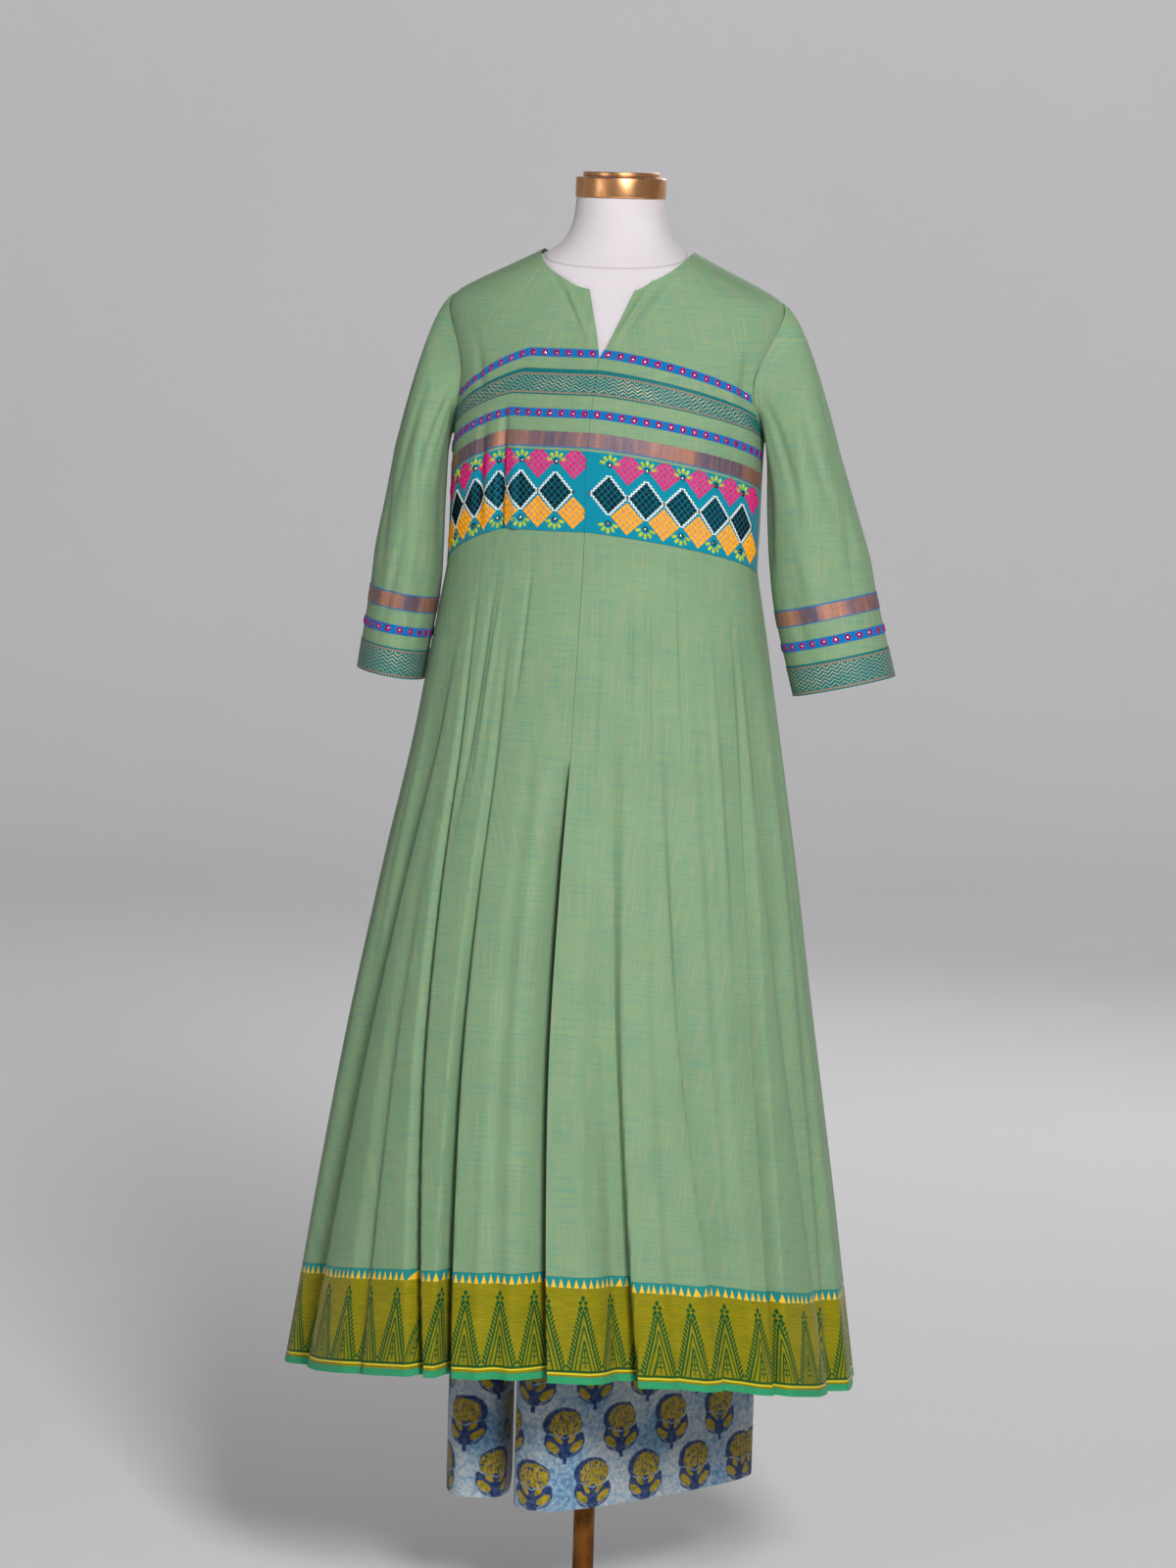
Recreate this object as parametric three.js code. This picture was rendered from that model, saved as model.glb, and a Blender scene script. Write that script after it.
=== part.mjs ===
// A flared kurti over wide block-printed pants, on a limbless dress form.
// Millimetres, +Z up, the front faces -Y. Left and right are the wearer's: left is +X.
import * as THREE from 'three';

// Cloth and seams
const CLOTH = 1.2;
const BAND_CLOTH = 1.0;
const BORDER_CLOTH = 1.4;
const SEAM_GAP = 0.4;
const LAY_GAP = 0.3;
const REST_LIFT = 2.6;
const NECK_STAND = 2;

// Heights of the kurti on the form
const WAIST_SEAM_CENTRE = 1252;
const SIDE_DROP = 47;
const WAIST_SEAM_SIDE = WAIST_SEAM_CENTRE - SIDE_DROP;
const NECK_POINT = 1556;
const NOTCH_TOP = 1516;
const NOTCH_BOTTOM = 1441;
const NOTCH_OPEN_LEFT = 30;
const NOTCH_OPEN_RIGHT = 20;
const NECK_HALF_WIDTH = 83;
const NECK_DROP = 38;
const BACK_NECK_DROP = 14;
const SLIT_TOP = 1003;
const HEM_FRONT = 338;
const HEM_SIDE = 287;
const BORDER_HEIGHT = 107;
const BINDING_HEIGHT = 8;

// The form: half width, front depth and back depth at each height
const FORM_SECTIONS = [
  { z: 862, half: 140, front: 84, back: 98 },
  { z: 874, half: 163, front: 104, back: 121 },
  { z: 905, half: 172, front: 111, back: 130 },
  { z: 955, half: 172, front: 111, back: 131 },
  { z: 1040, half: 152, front: 101, back: 113 },
  { z: 1095, half: 136, front: 93, back: 97 },
  { z: 1120, half: 130, front: 90.3, back: 91 },
  { z: 1150, half: 127, front: 89, back: 88 },
  { z: 1205, half: 131, front: 95, back: 92 },
  { z: 1260, half: 139, front: 108, back: 98 },
  { z: 1320, half: 149, front: 124, back: 106 },
  { z: 1370, half: 157, front: 119, back: 112 },
  { z: 1420, half: 168, front: 103, back: 112 },
  { z: 1460, half: 183, front: 88, back: 104 },
  { z: 1489, half: 188, front: 76, back: 90 },
  { z: 1506, half: 181, front: 69, back: 80 },
  { z: 1520, half: 158, front: 64, back: 72 },
  { z: 1537, half: 121, front: 60, back: 66 },
  { z: 1548, half: 97, front: 57, back: 62 },
  { z: 1553, half: 87, front: 55.4, back: 60 },
  { z: 1560, half: 75, front: 54, back: 58 },
  { z: 1572, half: 61, front: 52, back: 54 },
  { z: 1592, half: 52, front: 50, back: 51 },
  { z: 1616.6, half: 49, front: 49, back: 49 },
];
const FORM_COLUMNS = 40;

// How much wider the bodice hangs than the form, and how far it has slipped to its right
const BODICE_EASE = [
  { z: 1205, half: 41.5, front: 23, back: 22, shift: -9.5 },
  { z: 1260, half: 33, front: 14, back: 18, shift: -8 },
  { z: 1320, half: 23, front: 5, back: 12, shift: -7 },
  { z: 1370, half: 15, front: 5, back: 7, shift: -5 },
  { z: 1420, half: 6, front: 3, back: 3, shift: -3 },
  { z: 1460, half: 0.5, front: 0.5, back: 0.5, shift: 0 },
  { z: 1500, half: 0, front: 0, back: 0, shift: 0 },
  { z: 1616.6, half: 0, front: 0, back: 0, shift: 0 },
];

// The skirt's envelope over its fold crests
const SKIRT_SECTIONS = [
  { z: 285, half: 322, front: 300, back: 302, shift: -23 },
  { z: 400, half: 305, front: 287, back: 287, shift: -22 },
  { z: 510, half: 289, front: 272, back: 270, shift: -21 },
  { z: 690, half: 261, front: 243, back: 238, shift: -19 },
  { z: 870, half: 231, front: 203, back: 195, shift: -14 },
  { z: 1005, half: 206, front: 168, back: 160, shift: -10 },
  { z: 1120, half: 187, front: 140, back: 134, shift: -9.5 },
  { z: 1205, half: 172.5, front: 118, back: 114, shift: -9.5 },
];

// The skirt's troughs, in degrees round from the front, + toward the wearer's left.
// depth is in mm at the hem, wide is half the mouth and lean turns the bottom, in degrees,
// and starts is how far down the skirt the trough begins.
const SKIRT_TROUGHS = [
  { at: -83, depth: 26, wide: 4.5, lean: 1.5, starts: 0.3 },
  { at: -66, depth: 22, wide: 4.0, lean: -1.5, starts: 0.42 },
  { at: -49, depth: 36, wide: 5.0, lean: 3.5, starts: 0.2 },
  { at: -25, depth: 32, wide: 2.8, lean: -2.0, starts: 0.25 },
  { at: -18.6, depth: 26, wide: 2.7, lean: 1.5, starts: 0.3 },
  { at: 23.5, depth: 26, wide: 3.8, lean: 3.5, starts: 0.3 },
  { at: 41.5, depth: 24, wide: 3.4, lean: -3.0, starts: 0.34 },
  { at: 51.5, depth: 32, wide: 5.0, lean: 0.5, starts: 0.22 },
  { at: 68, depth: 28, wide: 4.0, lean: -3.5, starts: 0.28 },
  { at: 97, depth: 32, wide: 5.0, lean: 1.0, starts: 0.24 },
  { at: 112, depth: 24, wide: 4.0, lean: -2.0, starts: 0.36 },
  { at: 127, depth: 30, wide: 4.6, lean: 2.0, starts: 0.3 },
  { at: 144, depth: 34, wide: 5.0, lean: 1.5, starts: 0.2 },
  { at: 160, depth: 22, wide: 3.8, lean: -2.0, starts: 0.4 },
  { at: 177, depth: 36, wide: 5.2, lean: 1.0, starts: 0.24 },
  { at: 194, depth: 26, wide: 4.2, lean: -2.5, starts: 0.34 },
  { at: 210, depth: 30, wide: 4.6, lean: 2.0, starts: 0.28 },
  { at: 228, depth: 24, wide: 4.0, lean: -1.0, starts: 0.38 },
  { at: 245, depth: 34, wide: 5.0, lean: 2.0, starts: 0.22 },
  { at: 262, depth: 24, wide: 4.0, lean: 1.0, starts: 0.4 },
];
const SLIT_SWING = 4;
const SLIT_TURN_IN = { depth: 30, wide: 9, overlap: 1.6 };

// Where the bodice bands lie along the centre-front seam
const BANDS = [
  { name: 'embroidered_band', low: 1252.4, high: 1341, make: embroideryMaterial },
  { name: 'copper_band', low: 1344, high: 1361, make: copperMaterial },
  { name: 'mirror_ribbon_low', low: 1376, high: 1385, make: ribbonMaterial },
  { name: 'zigzag_band', low: 1400, high: 1428, make: zigzagMaterial },
  { name: 'mirror_ribbon_high', low: NOTCH_BOTTOM, high: 1450, make: ribbonMaterial },
];

// Each row above the bands: height at the notch or neckline, and at the armhole
const UPPER_ROWS = [
  { notch: 1481, side: 1428 },
  { notch: NOTCH_TOP, side: 1454 },
  { neckTurn: 35, side: 1471 },
  { neckTurn: 55, side: 1484 },
  { neckTurn: 73, side: 1495 },
  { neckTurn: 83, side: 1502 },
  { neckTurn: 90, side: 1505 },
];

// The front edge of the armhole: the angle round the body at each height
const ARMPIT = 1353;
const SHOULDER_TIP = 1505;
const ARMHOLE = [
  { z: ARMPIT, turn: 90 },
  { z: 1381, turn: 77 },
  { z: 1403, turn: 71 },
  { z: 1430, turn: 69 },
  { z: 1454, turn: 71 },
  { z: 1484, turn: 78 },
  { z: SHOULDER_TIP, turn: 90 },
];
const BACK_ARMHOLE_SHARE = 0.8;

// How steeply each side of the seams and bands falls from the centre
const BAND_FALL = { left: 1.3, right: 2.6 };
const UPPER_FALL = 1.2;
// Shares of the way from the centre to the side, where the bands stop one column short
const FRONT_SHARES = [0, 0.1, 0.2, 0.3, 0.4, 0.5, 0.6, 0.7, 0.8, 0.89, 0.965, 1];
const BACK_NECK_SHARE = 0.42;
const BACK_SHARES = [0, 0.14, 0.28, BACK_NECK_SHARE, 0.5, 0.58, 0.67, 0.76, 0.85, 0.93, 1];

// Sleeve rings: height, distance out, half width across and in depth, and tilt of the ring
const SLEEVE_LEFT = [
  { z: 1332, out: 215, across: 40, depth: 60, tilt: 8 },
  { z: 1270, out: 226, across: 49, depth: 56, tilt: 10 },
  { z: 1215, out: 237, across: 55, depth: 52, tilt: 12 },
  { z: 1172, out: 245, across: 56, depth: 51, tilt: 13 },
  { z: 1084, out: 268, across: 56, depth: 50, tilt: 13 },
];
const SLEEVE_RIGHT = [
  { z: 1330, out: 219, across: 30, depth: 67, tilt: 4 },
  { z: 1270, out: 225, across: 34, depth: 68, tilt: 5 },
  { z: 1215, out: 231, across: 38, depth: 67, tilt: 6 },
  { z: 1172, out: 235, across: 38.5, depth: 67, tilt: 6 },
  { z: 1078, out: 249, across: 37.5, depth: 67, tilt: 6 },
];
const SLEEVE_TURN = { left: 0, right: 10 };
const SLEEVE_BANDS = [
  { name: 'border', low: 0, high: 33, make: zigzagMaterial },
  { name: 'ribbon', low: 48, high: 58, make: ribbonMaterial },
  { name: 'copper', low: 75, high: 94, make: copperMaterial },
];
const SLEEVE_CAP_REACH = 27;
const SLEEVE_PIT_REACH = 7;

// Pants
const WAISTBAND = { low: 1120, high: 1150, cloth: 2.4 };
const CROTCH = 800;
const CROTCH_SHIFT = -22;
const CROTCH_CLEAR = 1;
const SEAT_END = 856;
const SEAT_FULLEST = 920;
const CROTCH_LOW = 790;
const CROTCH_TRIM = 0.7;
const LEG_SET = 300;
const PANTS_HEM = 145;
const PANTS_ROWS = [PANTS_HEM, 250, 360, 480, 600, 710, CROTCH, 828, SEAT_END, 905, 980, 1050, WAISTBAND.low - SEAM_GAP];
const PANTS_COLUMNS = 11;
const PANTS_EASE = [
  { z: 856, ease: 9 },
  { z: 955, ease: 8 },
  { z: 1050, ease: 9 },
  { z: 1120, ease: 2.2 },
];
const LEG_HEM = {
  left: { x: 50, y: 42, long: 168, short: 46, longTurn: 51, outseam: 40 },
  right: { x: -136, y: 66, long: 122, short: 37, longTurn: 100, outseam: 90 },
};
const LEG_SQUARENESS = 0.72;

// Dress form hardware
const NECK_RING = { radius: 50.5, low: 1617, high: 1640 };
const NECK_LID = { radius: 42.5, low: 1640.3, high: 1646 };
const POLE = { radius: 12, low: 34.3, high: 861.7 };
const BASE = { radius: 180, edge: 10, hub: 30, high: 34 };
const ROUND_COLUMNS = 36;

const RADIANS = Math.PI / 180;
const sind = (degrees) => Math.sin(degrees * RADIANS);
const cosd = (degrees) => Math.cos(degrees * RADIANS);
const mix = THREE.MathUtils.lerp;
const clamp01 = (value) => THREE.MathUtils.clamp(value, 0, 1);
const ease01 = (value) => THREE.MathUtils.smoothstep(value, 0, 1);

// Materials

function clothMaterial(colour, roughness = 0.85, metalness = 0) {
  return new THREE.MeshStandardMaterial({ color: colour, roughness, metalness, side: THREE.DoubleSide });
}

function greenSilkMaterial() {
  return clothMaterial(0x86a57c, 0.6);
}

function embroideryMaterial() {
  return clothMaterial(0x16929c);
}

function copperMaterial() {
  return clothMaterial(0x9a7468, 0.5, 0.3);
}

function ribbonMaterial() {
  return clothMaterial(0x2a6fa8);
}

function zigzagMaterial() {
  return clothMaterial(0x2c7a62, 0.55, 0.2);
}

function borderMaterial() {
  return clothMaterial(0xa39c30);
}

function bindingMaterial() {
  return clothMaterial(0x2f8a58);
}

function pantsMaterial() {
  return clothMaterial(0x8f9fab);
}

function formMaterial() {
  return clothMaterial(0xdcd6da, 0.8);
}

function brassMaterial() {
  return new THREE.MeshStandardMaterial({ color: 0xb08a4e, roughness: 0.35, metalness: 1 });
}

function poleMaterial() {
  return new THREE.MeshStandardMaterial({ color: 0x6b4320, roughness: 0.4, metalness: 0.2 });
}

// A smooth curve through one column of a table whose rows rise in z
function smoothAt(table, z, column) {
  const last = table.length - 1;
  let row = 0;
  while (row < last - 1 && table[row + 1].z < z) {
    row += 1;
  }
  const slope = (index) => {
    const below = table[Math.max(index - 1, 0)];
    const above = table[Math.min(index + 1, last)];
    return (above[column] - below[column]) / (above.z - below.z);
  };
  const low = table[row];
  const high = table[row + 1];
  const span = high.z - low.z;
  const t = clamp01((z - low.z) / span);
  const t2 = t * t;
  const t3 = t2 * t;
  return (2 * t3 - 3 * t2 + 1) * low[column] + (t3 - 2 * t2 + t) * span * slope(row)
    + (3 * t2 - 2 * t3) * high[column] + (t3 - t2) * span * slope(row + 1);
}

function ringPoint(section, turn, z) {
  const depth = Math.abs(turn) <= 90 ? section.front : section.back;
  return new THREE.Vector3(section.shift + section.half * sind(turn), -depth * cosd(turn), z);
}

function formSection(z) {
  const read = (column) => smoothAt(FORM_SECTIONS, z, column);
  return { half: read('half'), front: read('front'), back: read('back'), shift: 0 };
}

function kurtiSection(z) {
  if (z < WAIST_SEAM_SIDE) {
    const read = (column) => smoothAt(SKIRT_SECTIONS, z, column);
    return { half: read('half'), front: read('front'), back: read('back'), shift: read('shift') };
  }
  const form = formSection(z);
  const ease = (column) => smoothAt(BODICE_EASE, z, column);
  return {
    half: form.half + ease('half'),
    front: form.front + ease('front'),
    back: form.back + ease('back'),
    shift: ease('shift'),
  };
}

// The kurti's middle surface, just off the form where it rests on the shoulders
function kurtiPoint(turn, z) {
  const step = 0.5;
  const point = ringPoint(kurtiSection(z), turn, z);
  const round = ringPoint(kurtiSection(z), turn + step, z).sub(ringPoint(kurtiSection(z), turn - step, z));
  const up = ringPoint(kurtiSection(z + step), turn, z + step).sub(ringPoint(kurtiSection(z - step), turn, z - step));
  const normal = round.cross(up).normalize();
  const stand = NECK_STAND * ease01((z - NOTCH_TOP) / (NECK_POINT - NOTCH_TOP));
  return point.addScaledVector(normal, REST_LIFT + stand);
}

// Surfaces as grids of points: rows rise, columns go round

function gridNormals(grid, closed) {
  const columns = grid[0].length;
  const normals = grid.map((row) => row.map(() => new THREE.Vector3()));
  const lastColumn = closed ? columns : columns - 1;
  for (let row = 0; row < grid.length - 1; row += 1) {
    for (let column = 0; column < lastColumn; column += 1) {
      const next = (column + 1) % columns;
      const corners = [[row, column], [row, next], [row + 1, next], [row + 1, column]];
      const [a, b, c, d] = corners.map(([r, k]) => grid[r][k]);
      const normal = c.clone().sub(a).cross(d.clone().sub(b));
      corners.forEach(([r, k]) => normals[r][k].add(normal));
    }
  }
  let outward = 0;
  grid.forEach((row, r) => {
    const centre = row.reduce((sum, point) => sum.add(point), new THREE.Vector3()).divideScalar(row.length);
    row.forEach((point, k) => {
      normals[r][k].normalize();
      outward += normals[r][k].dot(point.clone().sub(centre));
    });
  });
  normals.forEach((row) => row.forEach((normal) => normal.multiplyScalar(Math.sign(outward))));
  return normals;
}

function makeSurface(grid, closed = false) {
  return { grid, normals: gridNormals(grid, closed), closed };
}

// Draws the ends of the rows, and the first and last rows, back from a seam
function trimSeams(grid, ends, rows) {
  const pull = (from, toward, distance) => {
    const direction = toward.clone().sub(from).normalize();
    return from.clone().addScaledVector(direction, distance);
  };
  const last = grid.length - 1;
  let trimmed = grid;
  if (ends > 0) {
    trimmed = trimmed.map((row) => [
      pull(row[0], row[1], ends),
      ...row.slice(1, -1),
      pull(row[row.length - 1], row[row.length - 2], ends),
    ]);
  }
  if (rows > 0) {
    const first = trimmed[0].map((point, k) => pull(point, trimmed[1][k], rows));
    const final = trimmed[last].map((point, k) => pull(point, trimmed[last - 1][k], rows));
    trimmed = [first, ...trimmed.slice(1, -1), final];
  }
  return trimmed;
}

// The same surface without its last column
function withoutLastColumn(surface) {
  const cut = (rows) => rows.map((row) => row.slice(0, -1));
  return { ...surface, grid: cut(surface.grid), normals: cut(surface.normals) };
}

function signedVolume(points, triangles) {
  let total = 0;
  triangles.forEach(([a, b, c]) => {
    total += points[a].dot(points[b].clone().cross(points[c]));
  });
  return total;
}

function solidGeometry(points, triangles) {
  const facing = signedVolume(points, triangles) > 0;
  const ordered = facing ? triangles : triangles.map(([a, b, c]) => [a, c, b]);
  const geometry = new THREE.BufferGeometry().setFromPoints(points);
  geometry.setIndex(ordered.flat());
  geometry.computeVertexNormals();
  return geometry;
}

// A wall of cloth on part of a surface, its middle lifted off that surface by a distance
function wallGeometry(surface, lift, thickness, firstRow = 0, lastRow = surface.grid.length - 1) {
  const points = [];
  const triangles = [];
  const columns = surface.grid[0].length;
  const rows = lastRow - firstRow + 1;
  [lift + thickness / 2, lift - thickness / 2].forEach((distance) => {
    for (let row = firstRow; row <= lastRow; row += 1) {
      surface.grid[row].forEach((point, k) => {
        points.push(point.clone().addScaledVector(surface.normals[row][k], distance));
      });
    }
  });
  const index = (side, row, column) => side * rows * columns + row * columns + (column % columns);
  const quad = (a, b, c, d) => triangles.push([a, b, c], [a, c, d]);
  const spans = surface.closed ? columns : columns - 1;
  for (let row = 0; row < rows - 1; row += 1) {
    for (let k = 0; k < spans; k += 1) {
      quad(index(0, row, k), index(0, row, k + 1), index(0, row + 1, k + 1), index(0, row + 1, k));
      quad(index(1, row, k), index(1, row + 1, k), index(1, row + 1, k + 1), index(1, row, k + 1));
    }
  }
  for (let k = 0; k < spans; k += 1) {
    quad(index(0, 0, k + 1), index(0, 0, k), index(1, 0, k), index(1, 0, k + 1));
    quad(index(0, rows - 1, k), index(0, rows - 1, k + 1), index(1, rows - 1, k + 1), index(1, rows - 1, k));
  }
  if (!surface.closed) {
    const end = columns - 1;
    for (let row = 0; row < rows - 1; row += 1) {
      quad(index(0, row, 0), index(0, row + 1, 0), index(1, row + 1, 0), index(1, row, 0));
      quad(index(0, row + 1, end), index(0, row, end), index(1, row, end), index(1, row + 1, end));
    }
  }
  return solidGeometry(points, triangles);
}

// A solid through closed rings, with a flat end on each side
function loftGeometry(rings) {
  const columns = rings[0].length;
  const points = rings.flat();
  const triangles = [];
  rings.slice(1).forEach((unused, row) => {
    for (let k = 0; k < columns; k += 1) {
      const next = (k + 1) % columns;
      const corners = [row * columns + k, row * columns + next, (row + 1) * columns + next, (row + 1) * columns + k];
      triangles.push([corners[0], corners[1], corners[2]], [corners[0], corners[2], corners[3]]);
    }
  });
  const lastRing = (rings.length - 1) * columns;
  const addEnd = (ring, offset, flipped) => {
    const centre = ring.reduce((sum, point) => sum.add(point), new THREE.Vector3()).divideScalar(columns);
    const hub = points.push(centre) - 1;
    for (let k = 0; k < columns; k += 1) {
      const next = (k + 1) % columns;
      triangles.push(flipped ? [hub, offset + next, offset + k] : [hub, offset + k, offset + next]);
    }
  };
  addEnd(rings[0], 0, true);
  addEnd(rings[rings.length - 1], lastRing, false);
  return solidGeometry(points, triangles);
}

function turnedGeometry(profile) {
  const geometry = new THREE.LatheGeometry(profile.map(([radius, z]) => new THREE.Vector2(radius, z)), ROUND_COLUMNS);
  return geometry.rotateX(Math.PI / 2);
}

const garment = new THREE.Group();

function addMesh(name, geometry, material) {
  const mesh = new THREE.Mesh(geometry, material);
  mesh.name = name;
  garment.add(mesh);
}

// Dress form

function formTorsoGeometry() {
  const rings = FORM_SECTIONS.map(({ z }) => {
    const section = formSection(z);
    return Array.from({ length: FORM_COLUMNS }, (unused, k) => ringPoint(section, -180 + (360 * k) / FORM_COLUMNS, z));
  });
  return loftGeometry(rings);
}

function addDressForm() {
  addMesh('form_torso', formTorsoGeometry(), formMaterial());
  const ring = NECK_RING;
  const bevel = 1.5;
  addMesh('form_neck_ring', turnedGeometry([
    [0, ring.low],
    [ring.radius - bevel, ring.low],
    [ring.radius, ring.low + bevel],
    [ring.radius, ring.high - bevel],
    [ring.radius - bevel, ring.high],
    [0, ring.high],
  ]), brassMaterial());
  const lid = NECK_LID;
  addMesh('form_neck_lid', turnedGeometry([
    [0, lid.low],
    [lid.radius, lid.low],
    [lid.radius, lid.high - bevel],
    [lid.radius - bevel, lid.high],
    [0, lid.high],
  ]), brassMaterial());
  addMesh('stand_pole', turnedGeometry([
    [0, POLE.low],
    [POLE.radius, POLE.low],
    [POLE.radius, POLE.high],
    [0, POLE.high],
  ]), poleMaterial());
  addMesh('stand_base', turnedGeometry([
    [0, 0],
    [BASE.radius, 0],
    [BASE.radius, BASE.edge],
    [BASE.hub * 2, BASE.edge + 6],
    [BASE.hub, BASE.high],
    [0, BASE.high],
  ]), poleMaterial());
}

// Bodice

function armholeTurn(z) {
  return z <= ARMPIT ? 90 : smoothAt(ARMHOLE, z, 'turn');
}

function frontRows() {
  const centres = [BANDS[0].low - SEAM_GAP, (BANDS[0].low + BANDS[0].high) / 2];
  BANDS.forEach(({ low, high }) => centres.push(low, high));
  const lower = centres.sort((a, b) => a - b).map((centre) => ({ notch: centre, side: centre - SIDE_DROP, band: true }));
  return [...lower, ...UPPER_ROWS];
}

function centreEdge(row, opening) {
  if (row.neckTurn === undefined) {
    const share = clamp01((row.notch - NOTCH_BOTTOM) / (NOTCH_TOP - NOTCH_BOTTOM));
    const half = kurtiSection(row.notch).half;
    return { z: row.notch, turn: Math.asin((opening * share) / half) / RADIANS };
  }
  if (row.neckTurn === 90) {
    return { z: NECK_POINT, turn: 90 };
  }
  const z = NECK_POINT - NECK_DROP * Math.pow(cosd(row.neckTurn), 1.3);
  return { z, turn: Math.asin((NECK_HALF_WIDTH * sind(row.neckTurn)) / kurtiSection(z).half) / RADIANS };
}

function frontHeight(row, centre, turn, sideTurn, fall) {
  const share = clamp01((Math.abs(turn) - centre.turn) / (sideTurn - centre.turn || 1));
  return mix(centre.z, row.side, Math.pow(share, row.band ? fall : UPPER_FALL));
}

// The last row runs along the shoulder seam, where every point has the same turn
function frontRowPoints(row, side, opening, fall) {
  const centre = centreEdge(row, opening);
  const sideTurn = armholeTurn(row.side);
  return FRONT_SHARES.map((share) => {
    const turn = mix(centre.turn, sideTurn, share);
    const shoulder = row.neckTurn === 90;
    const z = shoulder ? mix(centre.z, row.side, share) : frontHeight(row, centre, turn, sideTurn, fall);
    return kurtiPoint(side * turn, z);
  });
}

function frontGrid(side) {
  const opening = side > 0 ? NOTCH_OPEN_LEFT : NOTCH_OPEN_RIGHT;
  const fall = side > 0 ? BAND_FALL.left : BAND_FALL.right;
  return frontRows().map((row) => frontRowPoints(row, side, opening, fall));
}

function backRows() {
  const sides = frontRows().map((row) => row.side);
  const plain = [WAIST_SEAM_SIDE, mix(WAIST_SEAM_SIDE, ARMPIT, 0.33), mix(WAIST_SEAM_SIDE, ARMPIT, 0.67)];
  return [...plain, ...sides.filter((z) => z >= ARMPIT)];
}

// The back's top edge runs up one shoulder seam, round the back neck and down the other
function backTop(reach) {
  if (reach >= BACK_NECK_SHARE) {
    const z = mix(NECK_POINT, SHOULDER_TIP, (reach - BACK_NECK_SHARE) / (1 - BACK_NECK_SHARE));
    return { z, x: kurtiSection(z).half };
  }
  const round = 90 * (reach / BACK_NECK_SHARE);
  return { z: NECK_POINT - BACK_NECK_DROP * cosd(round), x: NECK_HALF_WIDTH * sind(round) };
}

function backPoint(across, side) {
  const reach = Math.abs(across);
  const hand = Math.sign(across || 1);
  const edgeTurn = 90 + (90 - armholeTurn(side)) * BACK_ARMHOLE_SHARE;
  if (reach === 1) {
    return kurtiPoint(hand * edgeTurn, side);
  }
  const share = (side - WAIST_SEAM_SIDE) / (SHOULDER_TIP - WAIST_SEAM_SIDE);
  const top = backTop(reach);
  const z = mix(WAIST_SEAM_SIDE, top.z, share);
  const edge = kurtiSection(side).half * sind(edgeTurn);
  const x = edge * mix(sind(90 * reach), top.x / kurtiSection(SHOULDER_TIP).half, share);
  const turn = Math.asin(Math.min(x / kurtiSection(z).half, 1)) / RADIANS;
  return kurtiPoint(hand * (180 - turn), z);
}

function backGrid() {
  const right = BACK_SHARES.slice(1).reverse().map((share) => -share);
  return backRows().map((side) => [...right, ...BACK_SHARES].map((across) => backPoint(across, side)));
}

function addBodice() {
  const rows = frontRows();
  [['left', 1], ['right', -1]].forEach(([hand, side]) => {
    const surface = makeSurface(trimSeams(frontGrid(side), SEAM_GAP / 2, SEAM_GAP / 2));
    addMesh(`bodice_front_${hand}`, wallGeometry(surface, 0, CLOTH), greenSilkMaterial());
    const ground = withoutLastColumn(surface);
    BANDS.forEach(({ name, low, high, make }) => {
      const first = rows.findIndex((row) => row.notch === low);
      const last = rows.findIndex((row) => row.notch === high);
      const lift = CLOTH / 2 + LAY_GAP + BAND_CLOTH / 2;
      addMesh(`${name}_${hand}`, wallGeometry(ground, lift, BAND_CLOTH, first, last), make());
    });
  });
  const back = makeSurface(trimSeams(backGrid(), SEAM_GAP / 2, SEAM_GAP / 2));
  addMesh('bodice_back', wallGeometry(back, 0, CLOTH), greenSilkMaterial());
}

// Sleeves

// The armhole loop: from the shoulder tip down the front edge and up the back edge
function armholeLoop(side) {
  const heights = backRows().filter((z) => z >= ARMPIT).reverse();
  const front = heights.map((z) => kurtiPoint(side * armholeTurn(z), z));
  const back = heights.slice(1, -1).reverse().map((z) => {
    const turn = 90 + (90 - armholeTurn(z)) * BACK_ARMHOLE_SHARE;
    return kurtiPoint(side * turn, z);
  });
  const pieces = heights.length - 1;
  return [...front, ...back].map((point, k) => ({ point, round: (180 * k) / pieces }));
}

function sleeveRing(table, z, round, side, turn) {
  const ring = (column) => smoothAt(table, z, column);
  const local = new THREE.Vector3(side * ring('across') * cosd(round), -ring('depth') * sind(round), 0);
  local.applyAxisAngle(new THREE.Vector3(0, 0, 1), turn * RADIANS);
  return local.add(new THREE.Vector3(side * ring('out'), 0, z + ring('tilt') * cosd(round)));
}

function sleeveHeights(table) {
  const hem = table[0].z;
  const edges = SLEEVE_BANDS.flatMap(({ low, high }) => [hem + low, hem + high]);
  return [...edges, ...table.slice(2).map((row) => row.z)];
}

function sleeveGrid(side) {
  const table = [...(side > 0 ? SLEEVE_LEFT : SLEEVE_RIGHT)].reverse();
  const turn = side > 0 ? SLEEVE_TURN.left : SLEEVE_TURN.right;
  const loop = armholeLoop(side);
  const top = table[table.length - 1].z;
  const lower = sleeveHeights(table).map((z) => loop.map(({ round }) => sleeveRing(table, z, round, side, turn)));
  const upper = [0.68, 0.36, 0.12, 0].map((share) => loop.map(({ point, round }) => {
    const away = new THREE.Vector3(side, -0.5 * sind(round), 0.35 * (cosd(round) - 1)).normalize();
    const cap = (1 + cosd(round)) / 2;
    const start = point.clone().addScaledVector(away, mix(2.4, 1.0, cap));
    const control = start.clone().addScaledVector(away, mix(SLEEVE_PIT_REACH, SLEEVE_CAP_REACH, Math.sqrt(cap)));
    const end = sleeveRing(table, top, round, side, turn);
    return new THREE.QuadraticBezierCurve3(start, control, end).getPoint(share);
  }));
  return [...lower, ...upper];
}

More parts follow.
